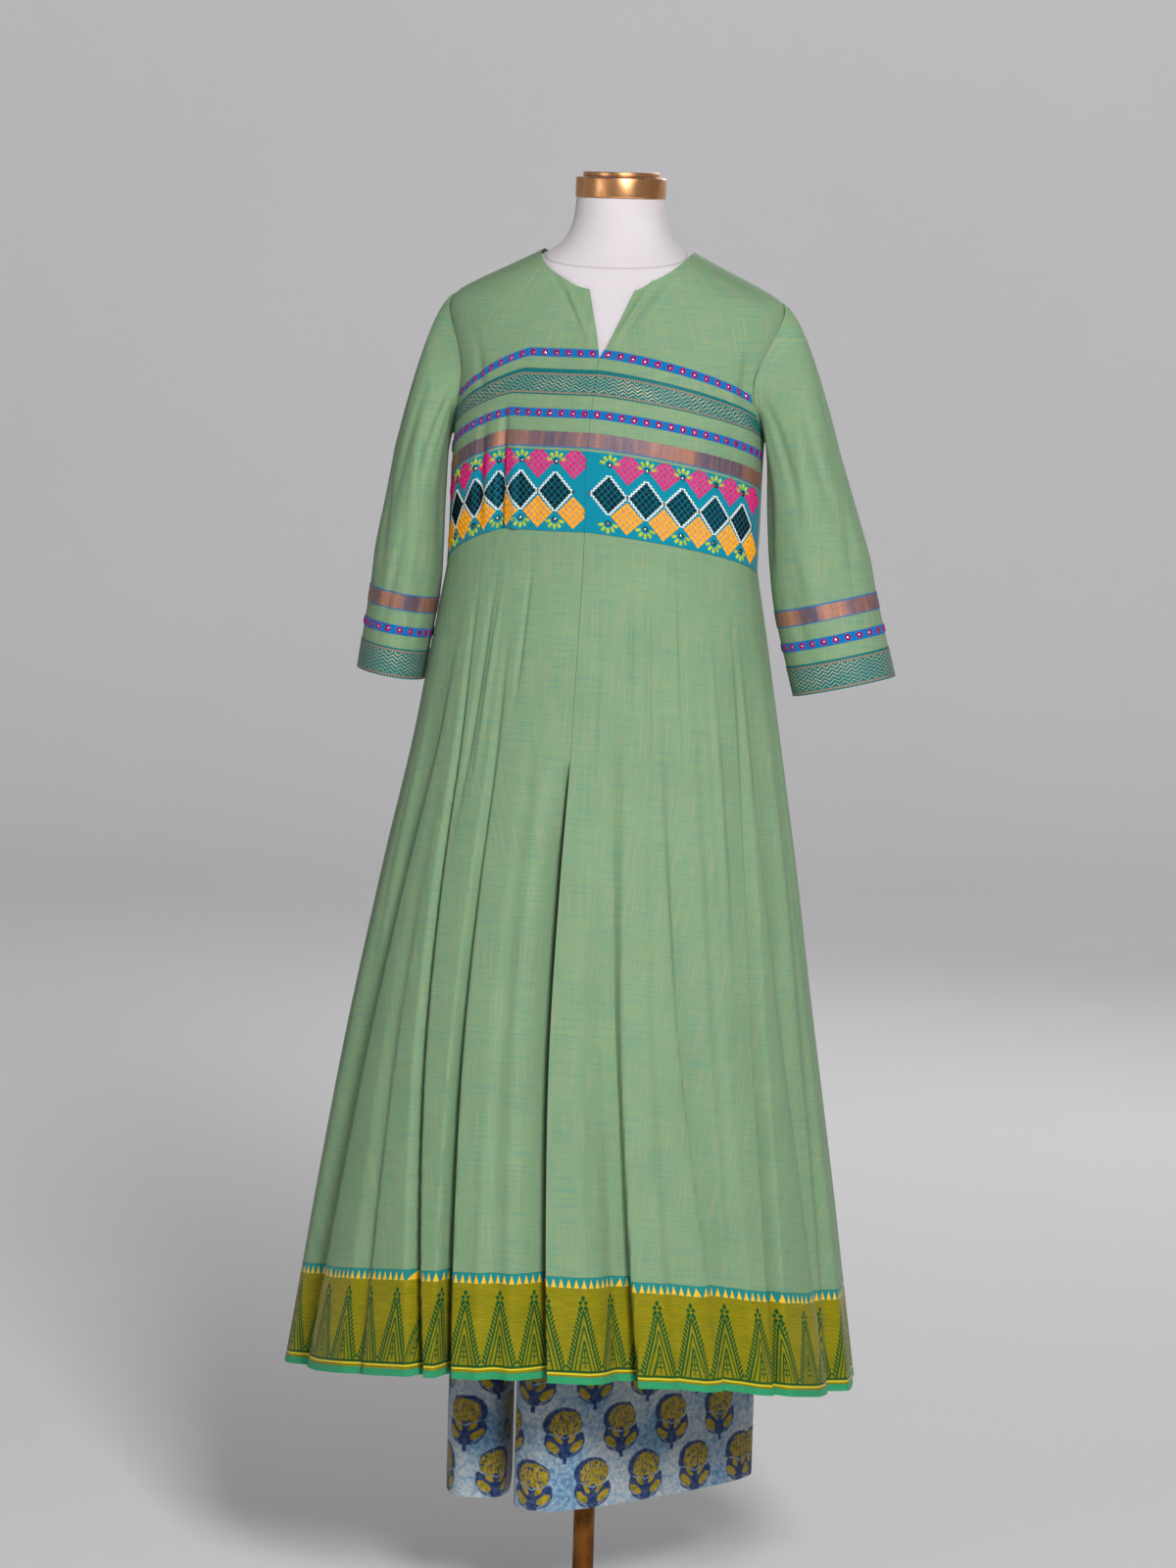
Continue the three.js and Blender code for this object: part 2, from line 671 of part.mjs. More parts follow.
function addSleeves() {
  [['left', 1], ['right', -1]].forEach(([hand, side]) => {
    const surface = makeSurface(sleeveGrid(side), true);
    addMesh(`sleeve_${hand}`, wallGeometry(surface, 0, CLOTH), greenSilkMaterial());
    SLEEVE_BANDS.forEach(({ name, make }, band) => {
      const lift = CLOTH / 2 + LAY_GAP + BAND_CLOTH / 2;
      addMesh(`sleeve_${name}_${hand}`, wallGeometry(surface, lift, BAND_CLOTH, 2 * band, 2 * band + 1), make());
    });
  });
}

// Skirt

function waistSeamHeight(turn) {
  const reach = Math.abs(THREE.MathUtils.euclideanModulo(turn + 180, 360) - 180);
  const fall = THREE.MathUtils.euclideanModulo(turn, 360) < 180 ? BAND_FALL.left : BAND_FALL.right;
  return WAIST_SEAM_CENTRE - SIDE_DROP * Math.pow(Math.min(reach / 90, 1), fall);
}

function hemHeight(turn) {
  return HEM_SIDE + (HEM_FRONT - HEM_SIDE) * Math.pow(Math.max(cosd(turn), 0), 1.5);
}

// A trough's shape across its mouth: 1 at the bottom, 0 at its edges
function troughShape(distance, wide) {
  const share = Math.abs(distance) / wide;
  return share < 1 ? (1 + Math.cos(Math.PI * share)) / 2 : 0;
}

function troughGrowth(down, starts) {
  return Math.pow(clamp01((down - starts) / (1 - starts)), 1.1);
}

// How far a point of the skirt is drawn in, in mm, and turned, in degrees
function skirtFold(turn, down) {
  const around = THREE.MathUtils.euclideanModulo(turn + 90, 360) - 90;
  let inward = 0;
  let turned = 0;
  SKIRT_TROUGHS.forEach(({ at, depth, wide, lean, starts }) => {
    const shape = troughShape(around - at, wide) * troughGrowth(down, starts);
    inward += depth * shape;
    turned += lean * shape;
  });
  return { inward, turned };
}

const SLIT_TOP_SHARE = (WAIST_SEAM_CENTRE - SLIT_TOP) / (WAIST_SEAM_CENTRE - HEM_FRONT);

// The right front's slit edge turns in and runs under the left front's edge
function slitFold(turn, down) {
  const share = clamp01((down - SLIT_TOP_SHARE) / 0.25);
  const { depth, wide, overlap } = SLIT_TURN_IN;
  const nearLeft = turn >= 0 && turn < wide ? 1 - turn / wide : 0;
  const nearRight = turn < 0 && turn > -wide ? 1 + turn / wide : 0;
  return {
    inward: depth * share * ease01(nearRight),
    turned: overlap * share * share * (nearRight - nearLeft) + SLIT_SWING * down * down * Math.max(cosd(turn), 0),
  };
}

function skirtPoint(turn, down) {
  const fold = skirtFold(turn, down);
  const slit = Math.abs(turn) < 90 ? slitFold(turn, down) : { inward: 0, turned: 0 };
  const z = mix(waistSeamHeight(turn), hemHeight(turn), down);
  const turned = turn + fold.turned + slit.turned;
  const point = kurtiPoint(turned > 180 ? turned - 360 : turned, z);
  const inward = fold.inward + slit.inward;
  const centre = new THREE.Vector3(kurtiSection(z).shift, 0, z);
  return point.addScaledVector(centre.sub(point).normalize(), inward);
}

// Columns at each trough's mouth and bottom, and one in the middle of each wide panel
function skirtColumns(from, to) {
  const turns = [from, to];
  SKIRT_TROUGHS.forEach(({ at, wide }) => {
    if (at > from && at < to) {
      turns.push(at - wide, at - wide / 3, at + wide / 3, at + wide);
    }
  });
  if (from === -90) {
    turns.push(to - SLIT_TURN_IN.wide, to - SLIT_TURN_IN.wide / 2);
  }
  turns.sort((a, b) => a - b);
  const wideGap = 8;
  const columns = [];
  turns.forEach((turn, k) => {
    columns.push(turn);
    if (k + 1 < turns.length && turns[k + 1] - turn > wideGap) {
      columns.push((turn + turns[k + 1]) / 2);
    }
  });
  return columns;
}

const SKIRT_SPAN = WAIST_SEAM_CENTRE - HEM_FRONT;
const BORDER_TOP = 1 - (BORDER_HEIGHT + BINDING_HEIGHT) / SKIRT_SPAN;
const BINDING_TOP = 1 - BINDING_HEIGHT / SKIRT_SPAN;
const SKIRT_ROWS = [0, 0.09, 0.18, SLIT_TOP_SHARE, 0.4, 0.53, 0.66, 0.78, BORDER_TOP];
const BORDER_ROWS = [BORDER_TOP, (BORDER_TOP + BINDING_TOP) / 2, BINDING_TOP];
const BINDING_ROWS = [BINDING_TOP, 1];
const SKIRT_PANELS = [
  { name: 'front_left', from: 0, to: 90 },
  { name: 'back', from: 90, to: 270 },
  { name: 'front_right', from: -90, to: 0 },
];

function skirtSurface(panel, rows) {
  const nudge = 1e-6;
  const columns = skirtColumns(panel.from, panel.to);
  const grid = rows.map((down) => columns.map((turn) => {
    const held = panel.name === 'front_right' ? Math.min(turn, -nudge) : turn;
    return skirtPoint(held, down);
  }));
  return makeSurface(trimSeams(grid, SEAM_GAP / 2, SEAM_GAP / 2));
}

function addSkirt() {
  SKIRT_PANELS.forEach((panel) => {
    addMesh(`skirt_${panel.name}`, wallGeometry(skirtSurface(panel, SKIRT_ROWS), 0, CLOTH), greenSilkMaterial());
    const border = wallGeometry(skirtSurface(panel, BORDER_ROWS), 0, BORDER_CLOTH);
    addMesh(`hem_border_${panel.name}`, border, borderMaterial());
    const binding = wallGeometry(skirtSurface(panel, BINDING_ROWS), 0, BORDER_CLOTH);
    addMesh(`hem_binding_${panel.name}`, binding, bindingMaterial());
  });
}

// Pants

// Half of the seat: from the side seam, at 0, to the centre seam, at 180
function seatPoint(round, z, side, front) {
  const section = formSection(Math.max(z, SEAT_FULLEST));
  const ease = smoothAt(PANTS_EASE, z, 'ease');
  const depth = front ? -section.front - ease : section.back + ease;
  return new THREE.Vector3(side * (section.half + ease) * cosd(round / 2), depth * sind(round / 2), z);
}

// The top of a leg, whose inner end is the crotch point beside the pole
function crotchPoint(round, side, front) {
  const section = formSection(SEAT_FULLEST);
  const outer = side * (section.half + PANTS_EASE[0].ease);
  const inner = CROTCH_SHIFT + side * CROTCH_CLEAR;
  const centre = (outer + inner) / 2;
  const half = Math.abs(outer - inner) / 2;
  const depth = front ? -section.front : section.back;
  return new THREE.Vector3(centre + side * half * cosd(round), depth * sind(round), CROTCH);
}

function squared(value) {
  return Math.sign(value) * Math.pow(Math.abs(value), LEG_SQUARENESS);
}

function legHemPoint(round, side, front) {
  const leg = side > 0 ? LEG_HEM.left : LEG_HEM.right;
  const turn = leg.outseam + (front ? round : -round);
  const along = new THREE.Vector3(cosd(leg.longTurn), sind(leg.longTurn), 0);
  const across = new THREE.Vector3(side * along.y, -side * along.x, 0);
  return new THREE.Vector3(leg.x, leg.y, 0)
    .addScaledVector(along, leg.long * squared(cosd(turn)))
    .addScaledVector(across, leg.short * squared(sind(turn)));
}

function pantsPoint(round, z, side, front) {
  if (z >= SEAT_END) {
    return seatPoint(round, z, side, front);
  }
  const top = crotchPoint(round, side, front);
  if (z >= CROTCH) {
    const share = ease01((SEAT_END - z) / (SEAT_END - CROTCH));
    return seatPoint(round, SEAT_END, side, front).lerp(top, share).setZ(z);
  }
  const share = ease01((CROTCH - z) / (CROTCH - LEG_SET));
  return top.lerp(legHemPoint(round, side, front), share).setZ(z);
}

function pantsSurface(side, front) {
  const grid = PANTS_ROWS.map((z) => Array.from({ length: PANTS_COLUMNS + 1 }, (unused, k) => (
    pantsPoint((180 * k) / PANTS_COLUMNS, z, side, front)
  )));
  return makeSurface(trimCrotch(trimSeams(grid, SEAM_GAP / 2, 0)));
}

// The seams meet at a sharp angle under the seat, so their edges keep further apart there
function trimCrotch(grid) {
  return grid.map((row) => {
    const last = row.length - 1;
    const z = row[0].z;
    const sharp = z > CROTCH_LOW && z <= SEAT_END;
    const end = row[last].clone().lerp(row[last - 1], CROTCH_TRIM / row[last].distanceTo(row[last - 1]));
    return sharp ? [...row.slice(0, last), end] : row;
  });
}

function waistbandSurface() {
  const lift = WAISTBAND.cloth / 2 + SEAM_GAP;
  const rings = [WAISTBAND.low, WAISTBAND.high].map((z) => {
    const section = formSection(z);
    const wider = { half: section.half + lift, front: section.front + lift, back: section.back + lift, shift: 0 };
    return Array.from({ length: FORM_COLUMNS }, (unused, k) => ringPoint(wider, -180 + (360 * k) / FORM_COLUMNS, z));
  });
  return makeSurface(rings, true);
}

function addPants() {
  [['left', 1], ['right', -1]].forEach(([hand, side]) => {
    addMesh(`pants_front_${hand}`, wallGeometry(pantsSurface(side, true), 0, CLOTH), pantsMaterial());
    addMesh(`pants_back_${hand}`, wallGeometry(pantsSurface(side, false), 0, CLOTH), pantsMaterial());
  });
  addMesh('pants_waistband', wallGeometry(waistbandSurface(), 0, WAISTBAND.cloth), pantsMaterial());
}

addDressForm();
addBodice();
addSleeves();
addSkirt();
addPants();

export default garment;
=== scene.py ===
import math

import bpy
import numpy as np
from mathutils import Matrix, Vector


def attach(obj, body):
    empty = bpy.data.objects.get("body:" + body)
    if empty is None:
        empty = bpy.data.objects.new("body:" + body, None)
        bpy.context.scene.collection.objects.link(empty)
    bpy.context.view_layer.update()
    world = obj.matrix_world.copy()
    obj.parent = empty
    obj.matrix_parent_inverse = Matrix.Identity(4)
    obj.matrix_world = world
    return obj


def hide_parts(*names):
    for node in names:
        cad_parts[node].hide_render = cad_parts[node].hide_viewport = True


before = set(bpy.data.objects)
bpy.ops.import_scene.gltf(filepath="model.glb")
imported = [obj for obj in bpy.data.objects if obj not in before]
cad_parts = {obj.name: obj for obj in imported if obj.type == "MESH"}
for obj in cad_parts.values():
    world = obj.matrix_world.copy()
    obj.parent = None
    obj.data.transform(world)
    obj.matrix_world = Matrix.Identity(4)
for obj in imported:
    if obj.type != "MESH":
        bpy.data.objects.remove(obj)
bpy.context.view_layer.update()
METRES = 0.001

# Cloth
CLOTH = 0.8
BAND_CLOTH = 0.5
BORDER_CLOTH = 1.0
SEAM_GAP = 0.4
BAND_LIFT = CLOTH / 2 + BAND_CLOTH / 2 + 0.15
REST_LIFT = 2.6
NECK_STAND = 2.0

# Heights of the kurti on the form
WAIST_SEAM_CENTRE = 1252.0
SIDE_DROP = 47.0
WAIST_SEAM_SIDE = WAIST_SEAM_CENTRE - SIDE_DROP
NECK_POINT = 1556.0
NOTCH_TOP = 1516.0
NOTCH_BOTTOM = 1441.0
NOTCH_OPEN = {1: 30.0, -1: 20.0}
NECK_HALF_WIDTH = 83.0
NECK_DROP = 38.0
BACK_NECK_DROP = 14.0
SLIT_TOP = 1003.0
HEM_FRONT = 338.0
HEM_SIDE = 287.0
BORDER_HEIGHT = 107.0
BINDING_HEIGHT = 8.0
ARMPIT = 1353.0
SHOULDER_TIP = 1505.0
BACK_ARMHOLE_SHARE = 0.8
BACK_NECK_SHARE = 0.42
NECK_ROUNDING = 1.3
HEM_ROUNDING = 1.5

# How the bands fall from the centre seam to the side: where the fall starts, over how much of
# the way it runs, and its power. They end just short of the side.
BAND_END = 0.965
BAND_FALL = {1: (0.0, 1.0, 1.3), -1: (0.36, 0.56, 1.15)}
UPPER_FALL = 1.2
UPPER_FALL_FROM = 1450.0
UPPER_FALL_TO = 1481.0
HAND = {1: "left", -1: "right"}


def table(columns, *rows):
    """A table with named columns, each an array."""
    names = columns.split()
    return {name: np.array([row[k] for row in rows], float) for k, name in enumerate(names)}


FORM_SECTIONS = table(
    "z half front back",
    (862, 140, 84, 98), (874, 163, 104, 121), (905, 172, 111, 130), (955, 172, 111, 131),
    (1040, 152, 101, 113), (1095, 136, 93, 97), (1120, 130, 90.3, 91), (1150, 127, 89, 88),
    (1205, 131, 95, 92), (1260, 139, 108, 98), (1320, 149, 124, 106), (1370, 157, 119, 112),
    (1420, 168, 103, 112), (1460, 183, 88, 104), (1489, 188, 76, 90), (1506, 181, 69, 80),
    (1520, 158, 64, 72), (1537, 121, 60, 66), (1548, 97, 57, 62), (1553, 87, 55.4, 60),
    (1560, 75, 54, 58), (1572, 61, 52, 54), (1592, 52, 50, 51), (1616.6, 49, 49, 49),
)
BODICE_EASE = table(
    "z half front back shift",
    (1205, 41.5, 23, 22, -9.5), (1260, 33, 14, 18, -8), (1320, 23, 5, 12, -7), (1370, 15, 5, 7, -5),
    (1420, 6, 3, 3, -3), (1460, 0.5, 0.5, 0.5, 0), (1500, 0, 0, 0, 0), (1616.6, 0, 0, 0, 0),
)
SKIRT_SECTIONS = table(
    "z half front back shift",
    (285, 322, 300, 302, -23), (400, 305, 287, 287, -22), (510, 289, 272, 270, -21),
    (690, 261, 243, 238, -19), (870, 231, 203, 195, -14), (1005, 206, 168, 160, -10),
    (1120, 187, 140, 134, -9.5), (1205, 172.5, 118, 114, -9.5),
)

# The skirt's folds, in degrees round from the front, + toward the wearer's left: where each
# one is at the hem and at its top, its trough's depth in mm, half the width of its mouth, how
# far its bottom leans, how far one side laps over the other, how far the side under it is set
# back in mm, and how far down the skirt it starts. A lap with a minus is over the lower angles.
SKIRT_FOLDS = table(
    "at top depth wide lean lap back starts",
    (-84, -78, 26, 3.4, 1.5, 0, 0, 0.1), (-59, -50, 3, 4.4, 0, -0.8, 44, 0.05),
    (-43, -46, 8, 3.6, 1.0, 0, 0, 0.2), (-27.2, -44, 46, 2.0, 0.4, 0, 0, 0.04),
    (-21.2, -26, 38, 2.1, -1.0, 0, 0, 0.1), (-11, -13, 7, 3.4, 0, 0, 0, 0.1),
    (19.6, 14, 3, 3.2, 0, -0.76, 32, 0.12), (28, 24, 5, 2.8, 0, 0, 0, 0.05),
    (36.8, 27, 3, 3.0, 0, 0.8, 22, 0.08), (45, 41, 8, 3.0, 0, 0, 0, 0.1),
    (54, 61, 36, 3.0, -1.0, 0, 0, 0.04), (72, 63, 8, 4.0, 0, 0.8, 36, 0.03),
    (84, 80, 14, 3.6, 0, 0, 0, 0.2),
    (98, 96, 34, 3.0, 1.0, 0, 0, 0.1), (112, 110, 6, 4.2, 0, 0.76, 32, 0.14),
    (127, 124, 34, 3.0, 1.6, 0, 0, 0.1), (144, 146, 8, 4.2, 0, -0.78, 34, 0.1),
    (160, 158, 26, 3.0, -1.6, 0, 0, 0.2), (177, 180, 36, 2.8, 0.8, 0, 0, 0.06),
    (194, 191, 5, 4.2, 0, 0.76, 32, 0.16), (210, 213, 34, 3.0, 1.6, 0, 0, 0.1),
    (228, 226, 8, 4.2, 0, -0.76, 33, 0.14), (245, 248, 34, 3.0, 1.6, 0, 0, 0.05),
    (262, 260, 24, 3.2, 0.8, 0, 0, 0.2),
)
FOLD_NAMES = ("at", "top", "depth", "wide", "lean", "lap", "back", "starts")
LAP_STEP = 1.1
LAP_RECOVERY = 2.6
LAP_CRISPNESS = 0.99
FOLD_GROWTH = 1.25

# The right front's slit edge, in mm and degrees: how deep it turns in, over how wide a part, how
# much sharper right at the edge, and how far it runs under the other. Then how fast it opens.
SLIT_TURN_IN = {"broad": 32.0, "wide": 9.0, "sharp": 18.0, "edge": 2.6, "overlap": 2.2}
SLIT_OPENS = {"over": 0.12, "power": 0.7}
SLIT_SWING = 5.4

# Soft creases on the skirt: depth in mm, a minus for a ridge, between two shares of its length
SKIRT_CREASES = table(
    "at depth wide starts ends",
    (-74, 6, 3.0, 0.02, 0.8), (-63, -4, 3.0, 0.1, 0.7), (-35, 5, 2.0, 0.0, 0.42),
    (-31, -4, 1.8, 0.02, 0.36), (-20, 4, 1.7, 0.0, 0.26), (-9, 4, 2.4, 0.45, 1.0),
    (-14, -3, 2.4, 0.5, 1.0), (7, 3, 2.0, 0.04, 0.5), (12, -5, 3.0, 0.4, 1.0),
    (18, 4, 1.6, 0.0, 0.3), (24, -4, 1.6, 0.0, 0.34), (33, -4, 2.2, 0.5, 1.0),
    (36, 4, 1.8, 0.0, 0.3), (48, -5, 2.4, 0.05, 0.6), (77, -5, 3.2, 0.1, 0.9),
    (86, 5, 3.0, 0.02, 0.6), (104, -5, 3.2, 0.15, 1.0), (119, 5, 2.4, 0.0, 0.5),
    (136, -4, 3.0, 0.25, 0.95), (152, 6, 2.6, 0.0, 0.6), (168, -5, 2.6, 0.1, 1.0),
    (187, 5, 2.4, 0.02, 0.5), (202, -4, 3.4, 0.15, 0.95), (219, 5, 2.4, 0.0, 0.5),
    (236, -6, 3.0, 0.1, 1.0), (254, 5, 2.4, 0.02, 0.6),
)
CREASE_STRENGTH = 0.62
CREASE_NAMES = ("at", "depth", "wide", "starts", "ends")

# Creases on the bodice, as lines seen from the front: depth in mm, a minus for a ridge
BODICE_CREASES = table(
    "x0 z0 x1 z1 depth wide",
    (-104, 1392, -108, 1200, 9.0, 8), (-88, 1370, -90, 1205, -4.0, 9),
    (-130, 1380, -136, 1240, 5.0, 10), (-119, 1352, -124, 1235, -3.0, 8),
    (-72, 1542, -14, 1462, 1.6, 6), (-54, 1536, -8, 1450, -3.2, 6),
    (64, 1538, 18, 1462, 1.5, 5), (50, 1530, 10, 1452, -3.0, 6), (78, 1540, 40, 1480, -1.6, 6),
    (-150, 1470, -132, 1380, 2.0, 9), (158, 1462, 150, 1385, 3.0, 9),
    (140, 1420, 168, 1330, -2.0, 10), (70, 1330, 92, 1240, 1.6, 12),
    (20, 1300, 26, 1240, 1.2, 8), (-60, 1320, -66, 1240, 1.4, 10),
)

# Slanting creases on the back: depth in mm, then where across, how far each leans over its
# height, half its width, and how high its middle is, in shares of the back
BACK_CREASES = ((2.2, 0.1, -0.32, 0.16, 0.35), (2.0, 0.4, -0.2, 0.14, 0.4))

# The front edge of the armhole: the angle round the body at each height
ARMHOLE = table(
    "z turn",
    (1353, 90), (1381, 77), (1403, 71), (1430, 69), (1454, 71), (1484, 78), (1505, 90),
)
# The height on the armhole at each angle round the sleeve, from its top
ARMHOLE_ROUND = table(
    "round z",
    (0, 1505), (18, 1502), (36, 1495), (54, 1484), (72, 1471), (90, 1454),
    (108, 1428), (126, 1403), (144, 1394), (162, 1381), (180, 1353),
)
# The bodice's running level, with the height at its side and the angle round its neckline
FRONT_LEVELS = table(
    "level side",
    (1200, 1153), (1450, 1403), (1481, 1428), (1516, 1454), (1530, 1471),
    (1550, 1484), (1568, 1495), (1578, 1502), (1585, 1505),
)
NECK_LEVELS = (1516, 1530, 1550, 1568, 1578, 1585)
NECK_TURNS = (35, 55, 73, 83, 90)

# Sleeve rings: height, distance out, half width across and in depth, and tilt of the ring
SLEEVES = {
    1: table(
        "z out across depth tilt",
        (1084, 268, 56, 50, 13), (1172, 245, 56, 51, 13), (1215, 237, 55, 52, 12),
        (1270, 226, 49, 56, 10), (1332, 215, 40, 60, 8),
    ),
    -1: table(
        "z out across depth tilt",
        (1078, 249, 37.5, 67, 6), (1172, 235, 38.5, 67, 6), (1215, 231, 38, 67, 6),
        (1270, 225, 34, 68, 5), (1330, 219, 30, 67, 4),
    ),
}
SLEEVE_TURN = {1: 0.0, -1: 10.0}
SLEEVE_CAP_REACH = 27.0
SLEEVE_PIT_REACH = 7.0
SLEEVE_SET = {"across": 0.4, "cap": -0.3, "pit": -0.7}
ARMHOLE_SEAM = 0.9

# Pants
WAISTBAND = {"low": 1120.0, "high": 1150.0, "cloth": 2.0}
CROTCH = 800.0
CROTCH_SHIFT = -22.0
CROTCH_CLEAR = 1.0
SEAT_END = 856.0
SEAT_FULLEST = 920.0
LEG_SET = 300.0
PANTS_HEM = 145.0
PANTS_EASE = table("z ease", (856, 9), (955, 8), (1050, 9), (1120, 2.2))
LEG_HEM = {
    1: {"x": 50, "y": 42, "long": 168, "short": 46, "turn": 51, "outseam": 40},
    -1: {"x": -136, "y": 66, "long": 122, "short": 37, "turn": 100, "outseam": 90},
}
LEG_SQUARENESS = {1: 0.66, -1: 0.5}

# Dress form hardware
NECK_RING = {"radius": 50.5, "low": 1617.0, "high": 1640.0}
NECK_LID = {"radius": 42.5, "low": 1640.3, "high": 1646.0}
POLE = {"radius": 12.0, "low": 34.3, "high": 861.7}
BASE = {"radius": 180.0, "edge": 10.0, "hub": 30.0, "high": 34.0}


# Small helpers

def mix(low, high, share):
    return low + (high - low) * share


def clip01(value):
    return np.clip(value, 0.0, 1.0)


def ease01(value):
    share = clip01(value)
    return share * share * (3 - 2 * share)


def sind(degrees):
    return np.sin(np.radians(degrees))


def cosd(degrees):
    return np.cos(np.radians(degrees))


def bell(share):
    """1 in the middle, 0 at -1 and 1, smooth all the way."""
    return np.where(np.abs(share) < 1, (1 + np.cos(np.pi * np.clip(share, -1, 1))) / 2, 0.0)


def smooth_at(rows, column, value):
    """A smooth curve through one column of a table whose rows rise in z."""
    knots = rows["z"]
    heights = rows[column]
    slopes = np.empty_like(heights)
    slopes[1:-1] = (heights[2:] - heights[:-2]) / (knots[2:] - knots[:-2])
    slopes[0] = (heights[1] - heights[0]) / (knots[1] - knots[0])
    slopes[-1] = (heights[-1] - heights[-2]) / (knots[-1] - knots[-2])
    held = np.clip(value, knots[0], knots[-1])
    row = np.clip(np.searchsorted(knots, held) - 1, 0, len(knots) - 2)
    span = knots[row + 1] - knots[row]
    t = (held - knots[row]) / span
    low_part = (2 * t**3 - 3 * t**2 + 1) * heights[row] + (t**3 - 2 * t**2 + t) * span * slopes[row]
    high_part = (3 * t**2 - 2 * t**3) * heights[row + 1] + (t**3 - t**2) * span * slopes[row + 1]
    return low_part + high_part


def stack(x, y, z):
    return np.stack(np.broadcast_arrays(x, y, z), axis=-1).astype(float)


def unit(vectors):
    return vectors / np.maximum(np.linalg.norm(vectors, axis=-1, keepdims=True), 1e-9)


# The kurti's surface

def fall_share(share, side):
    """How much of its drop a band has had at each share of the way to the side seam."""
    start, span, power = BAND_FALL[side]
    return clip01((share - start) / span) ** power


def form_section(z):
    return {name: smooth_at(FORM_SECTIONS, name, z) for name in ("half", "front", "back")}


def kurti_section(z):
    form = form_section(z)
    section = {}
    for name in ("half", "front", "back", "shift"):
        above = smooth_at(BODICE_EASE, name, z) + form.get(name, 0.0)
        section[name] = np.where(z < WAIST_SEAM_SIDE, smooth_at(SKIRT_SECTIONS, name, z), above)
    return section


def ring_point(section, turn, z):
    depth = np.where(np.abs(turn) <= 90, section["front"], section["back"])
    return stack(section.get("shift", 0.0) + section["half"] * sind(turn), -depth * cosd(turn), z)


def kurti_point(turn, z):
    """The kurti's middle surface, just off the form where it rests on the shoulders."""
    turn, z = np.broadcast_arrays(np.asarray(turn, float), np.asarray(z, float))
    step = 0.5
    section = kurti_section(z)
    around = ring_point(section, turn + step, z) - ring_point(section, turn - step, z)
    above = ring_point(kurti_section(z + step), turn, z + step)
    below = ring_point(kurti_section(z - step), turn, z - step)
    normal = unit(np.cross(around, above - below))
    stand = NECK_STAND * ease01((z - NOTCH_TOP) / (NECK_POINT - NOTCH_TOP))
    return ring_point(section, turn, z) + normal * (REST_LIFT + stand)[..., None]


def armhole_turn(z):
    return np.where(z <= ARMPIT, 90.0, smooth_at(ARMHOLE, "turn", z))


def front_edge(level, side):
    """The height and the angle of a half front's inner edge: seam, V notch and round neck."""
    opening = NOTCH_OPEN[side]
    notch = opening * clip01((level - NOTCH_BOTTOM) / (NOTCH_TOP - NOTCH_BOTTOM))
    start = math.degrees(math.asin(opening / NECK_HALF_WIDTH))
    turn = np.interp(level, NECK_LEVELS, (start, *NECK_TURNS))
    neck_z = NECK_POINT - NECK_DROP * np.maximum(cosd(turn), 0) ** NECK_ROUNDING
    on_neck = clip01((level - NOTCH_TOP) / (NECK_LEVELS[1] - NOTCH_TOP))
    z = mix(np.minimum(level, NOTCH_TOP), neck_z, on_neck)
    x = np.where(level > NOTCH_TOP, NECK_HALF_WIDTH * sind(turn), notch)
    return z, np.degrees(np.arcsin(np.minimum(x / kurti_section(z)["half"], 1.0)))


def segment_bell(x, z, row):
    """How near each point is to a crease's line: 1 on it, 0 at its width and past its ends."""
    along = np.array([row["x1"] - row["x0"], row["z1"] - row["z0"]])
    length = np.hypot(*along)
    along = along / length
    dx = x - row["x0"]
    dz = z - row["z0"]
    run = (dx * along[0] + dz * along[1]) / length
    off = np.abs(dx * along[1] - dz * along[0]) / row["wide"]
    taper = bell(2 * clip01(run) - 1) ** 0.5
    return bell(off) * np.where((run > 0) & (run < 1), taper, 0.0)


def bodice_creases(points):
    """Each point's depth in the bodice's creases, in mm, inward."""
    depth = np.zeros(points.shape[:-1])
    for k in range(len(BODICE_CREASES["depth"])):
        row = {name: column[k] for name, column in BODICE_CREASES.items()}
        depth += row["depth"] * segment_bell(points[..., 0], points[..., 2], row)
    return depth


def front_grid(side, levels, shares):
    level, share = np.meshgrid(levels, shares, indexing="ij")
    edge_z, edge_turn = front_edge(level, side)
    side_z = np.interp(level, FRONT_LEVELS["level"], FRONT_LEVELS["side"])
    side_turn = armhole_turn(side_z)
    upper = clip01((level - UPPER_FALL_FROM) / (UPPER_FALL_TO - UPPER_FALL_FROM))
    shoulder = clip01((level - NECK_LEVELS[-2]) / (NECK_LEVELS[-1] - NECK_LEVELS[-2]))
    fall = mix(fall_share(share, side), share**UPPER_FALL, upper)
    turn = mix(edge_turn, side_turn, share)
    z = mix(edge_z, side_z, mix(fall, share, shoulder))
    points = kurti_point(side * turn, z)
    inward = unit(stack(-points[..., 0] * 0.3, -points[..., 1], 0 * points[..., 0]))
    return points + inward * bodice_creases(points)[..., None]


def back_top(reach):
    """The back's top edge: along the shoulder seam, and round the back neck."""
    on_shoulder = (reach - BACK_NECK_SHARE) / (1 - BACK_NECK_SHARE)
    shoulder_z = mix(NECK_POINT, SHOULDER_TIP, clip01(on_shoulder))
    round_neck = 90 * clip01(reach / BACK_NECK_SHARE)
    neck_z = NECK_POINT - BACK_NECK_DROP * cosd(round_neck)
    on_neck = reach < BACK_NECK_SHARE
    z = np.where(on_neck, neck_z, shoulder_z)
    x = np.where(on_neck, NECK_HALF_WIDTH * sind(round_neck), kurti_section(shoulder_z)["half"])
    return z, x


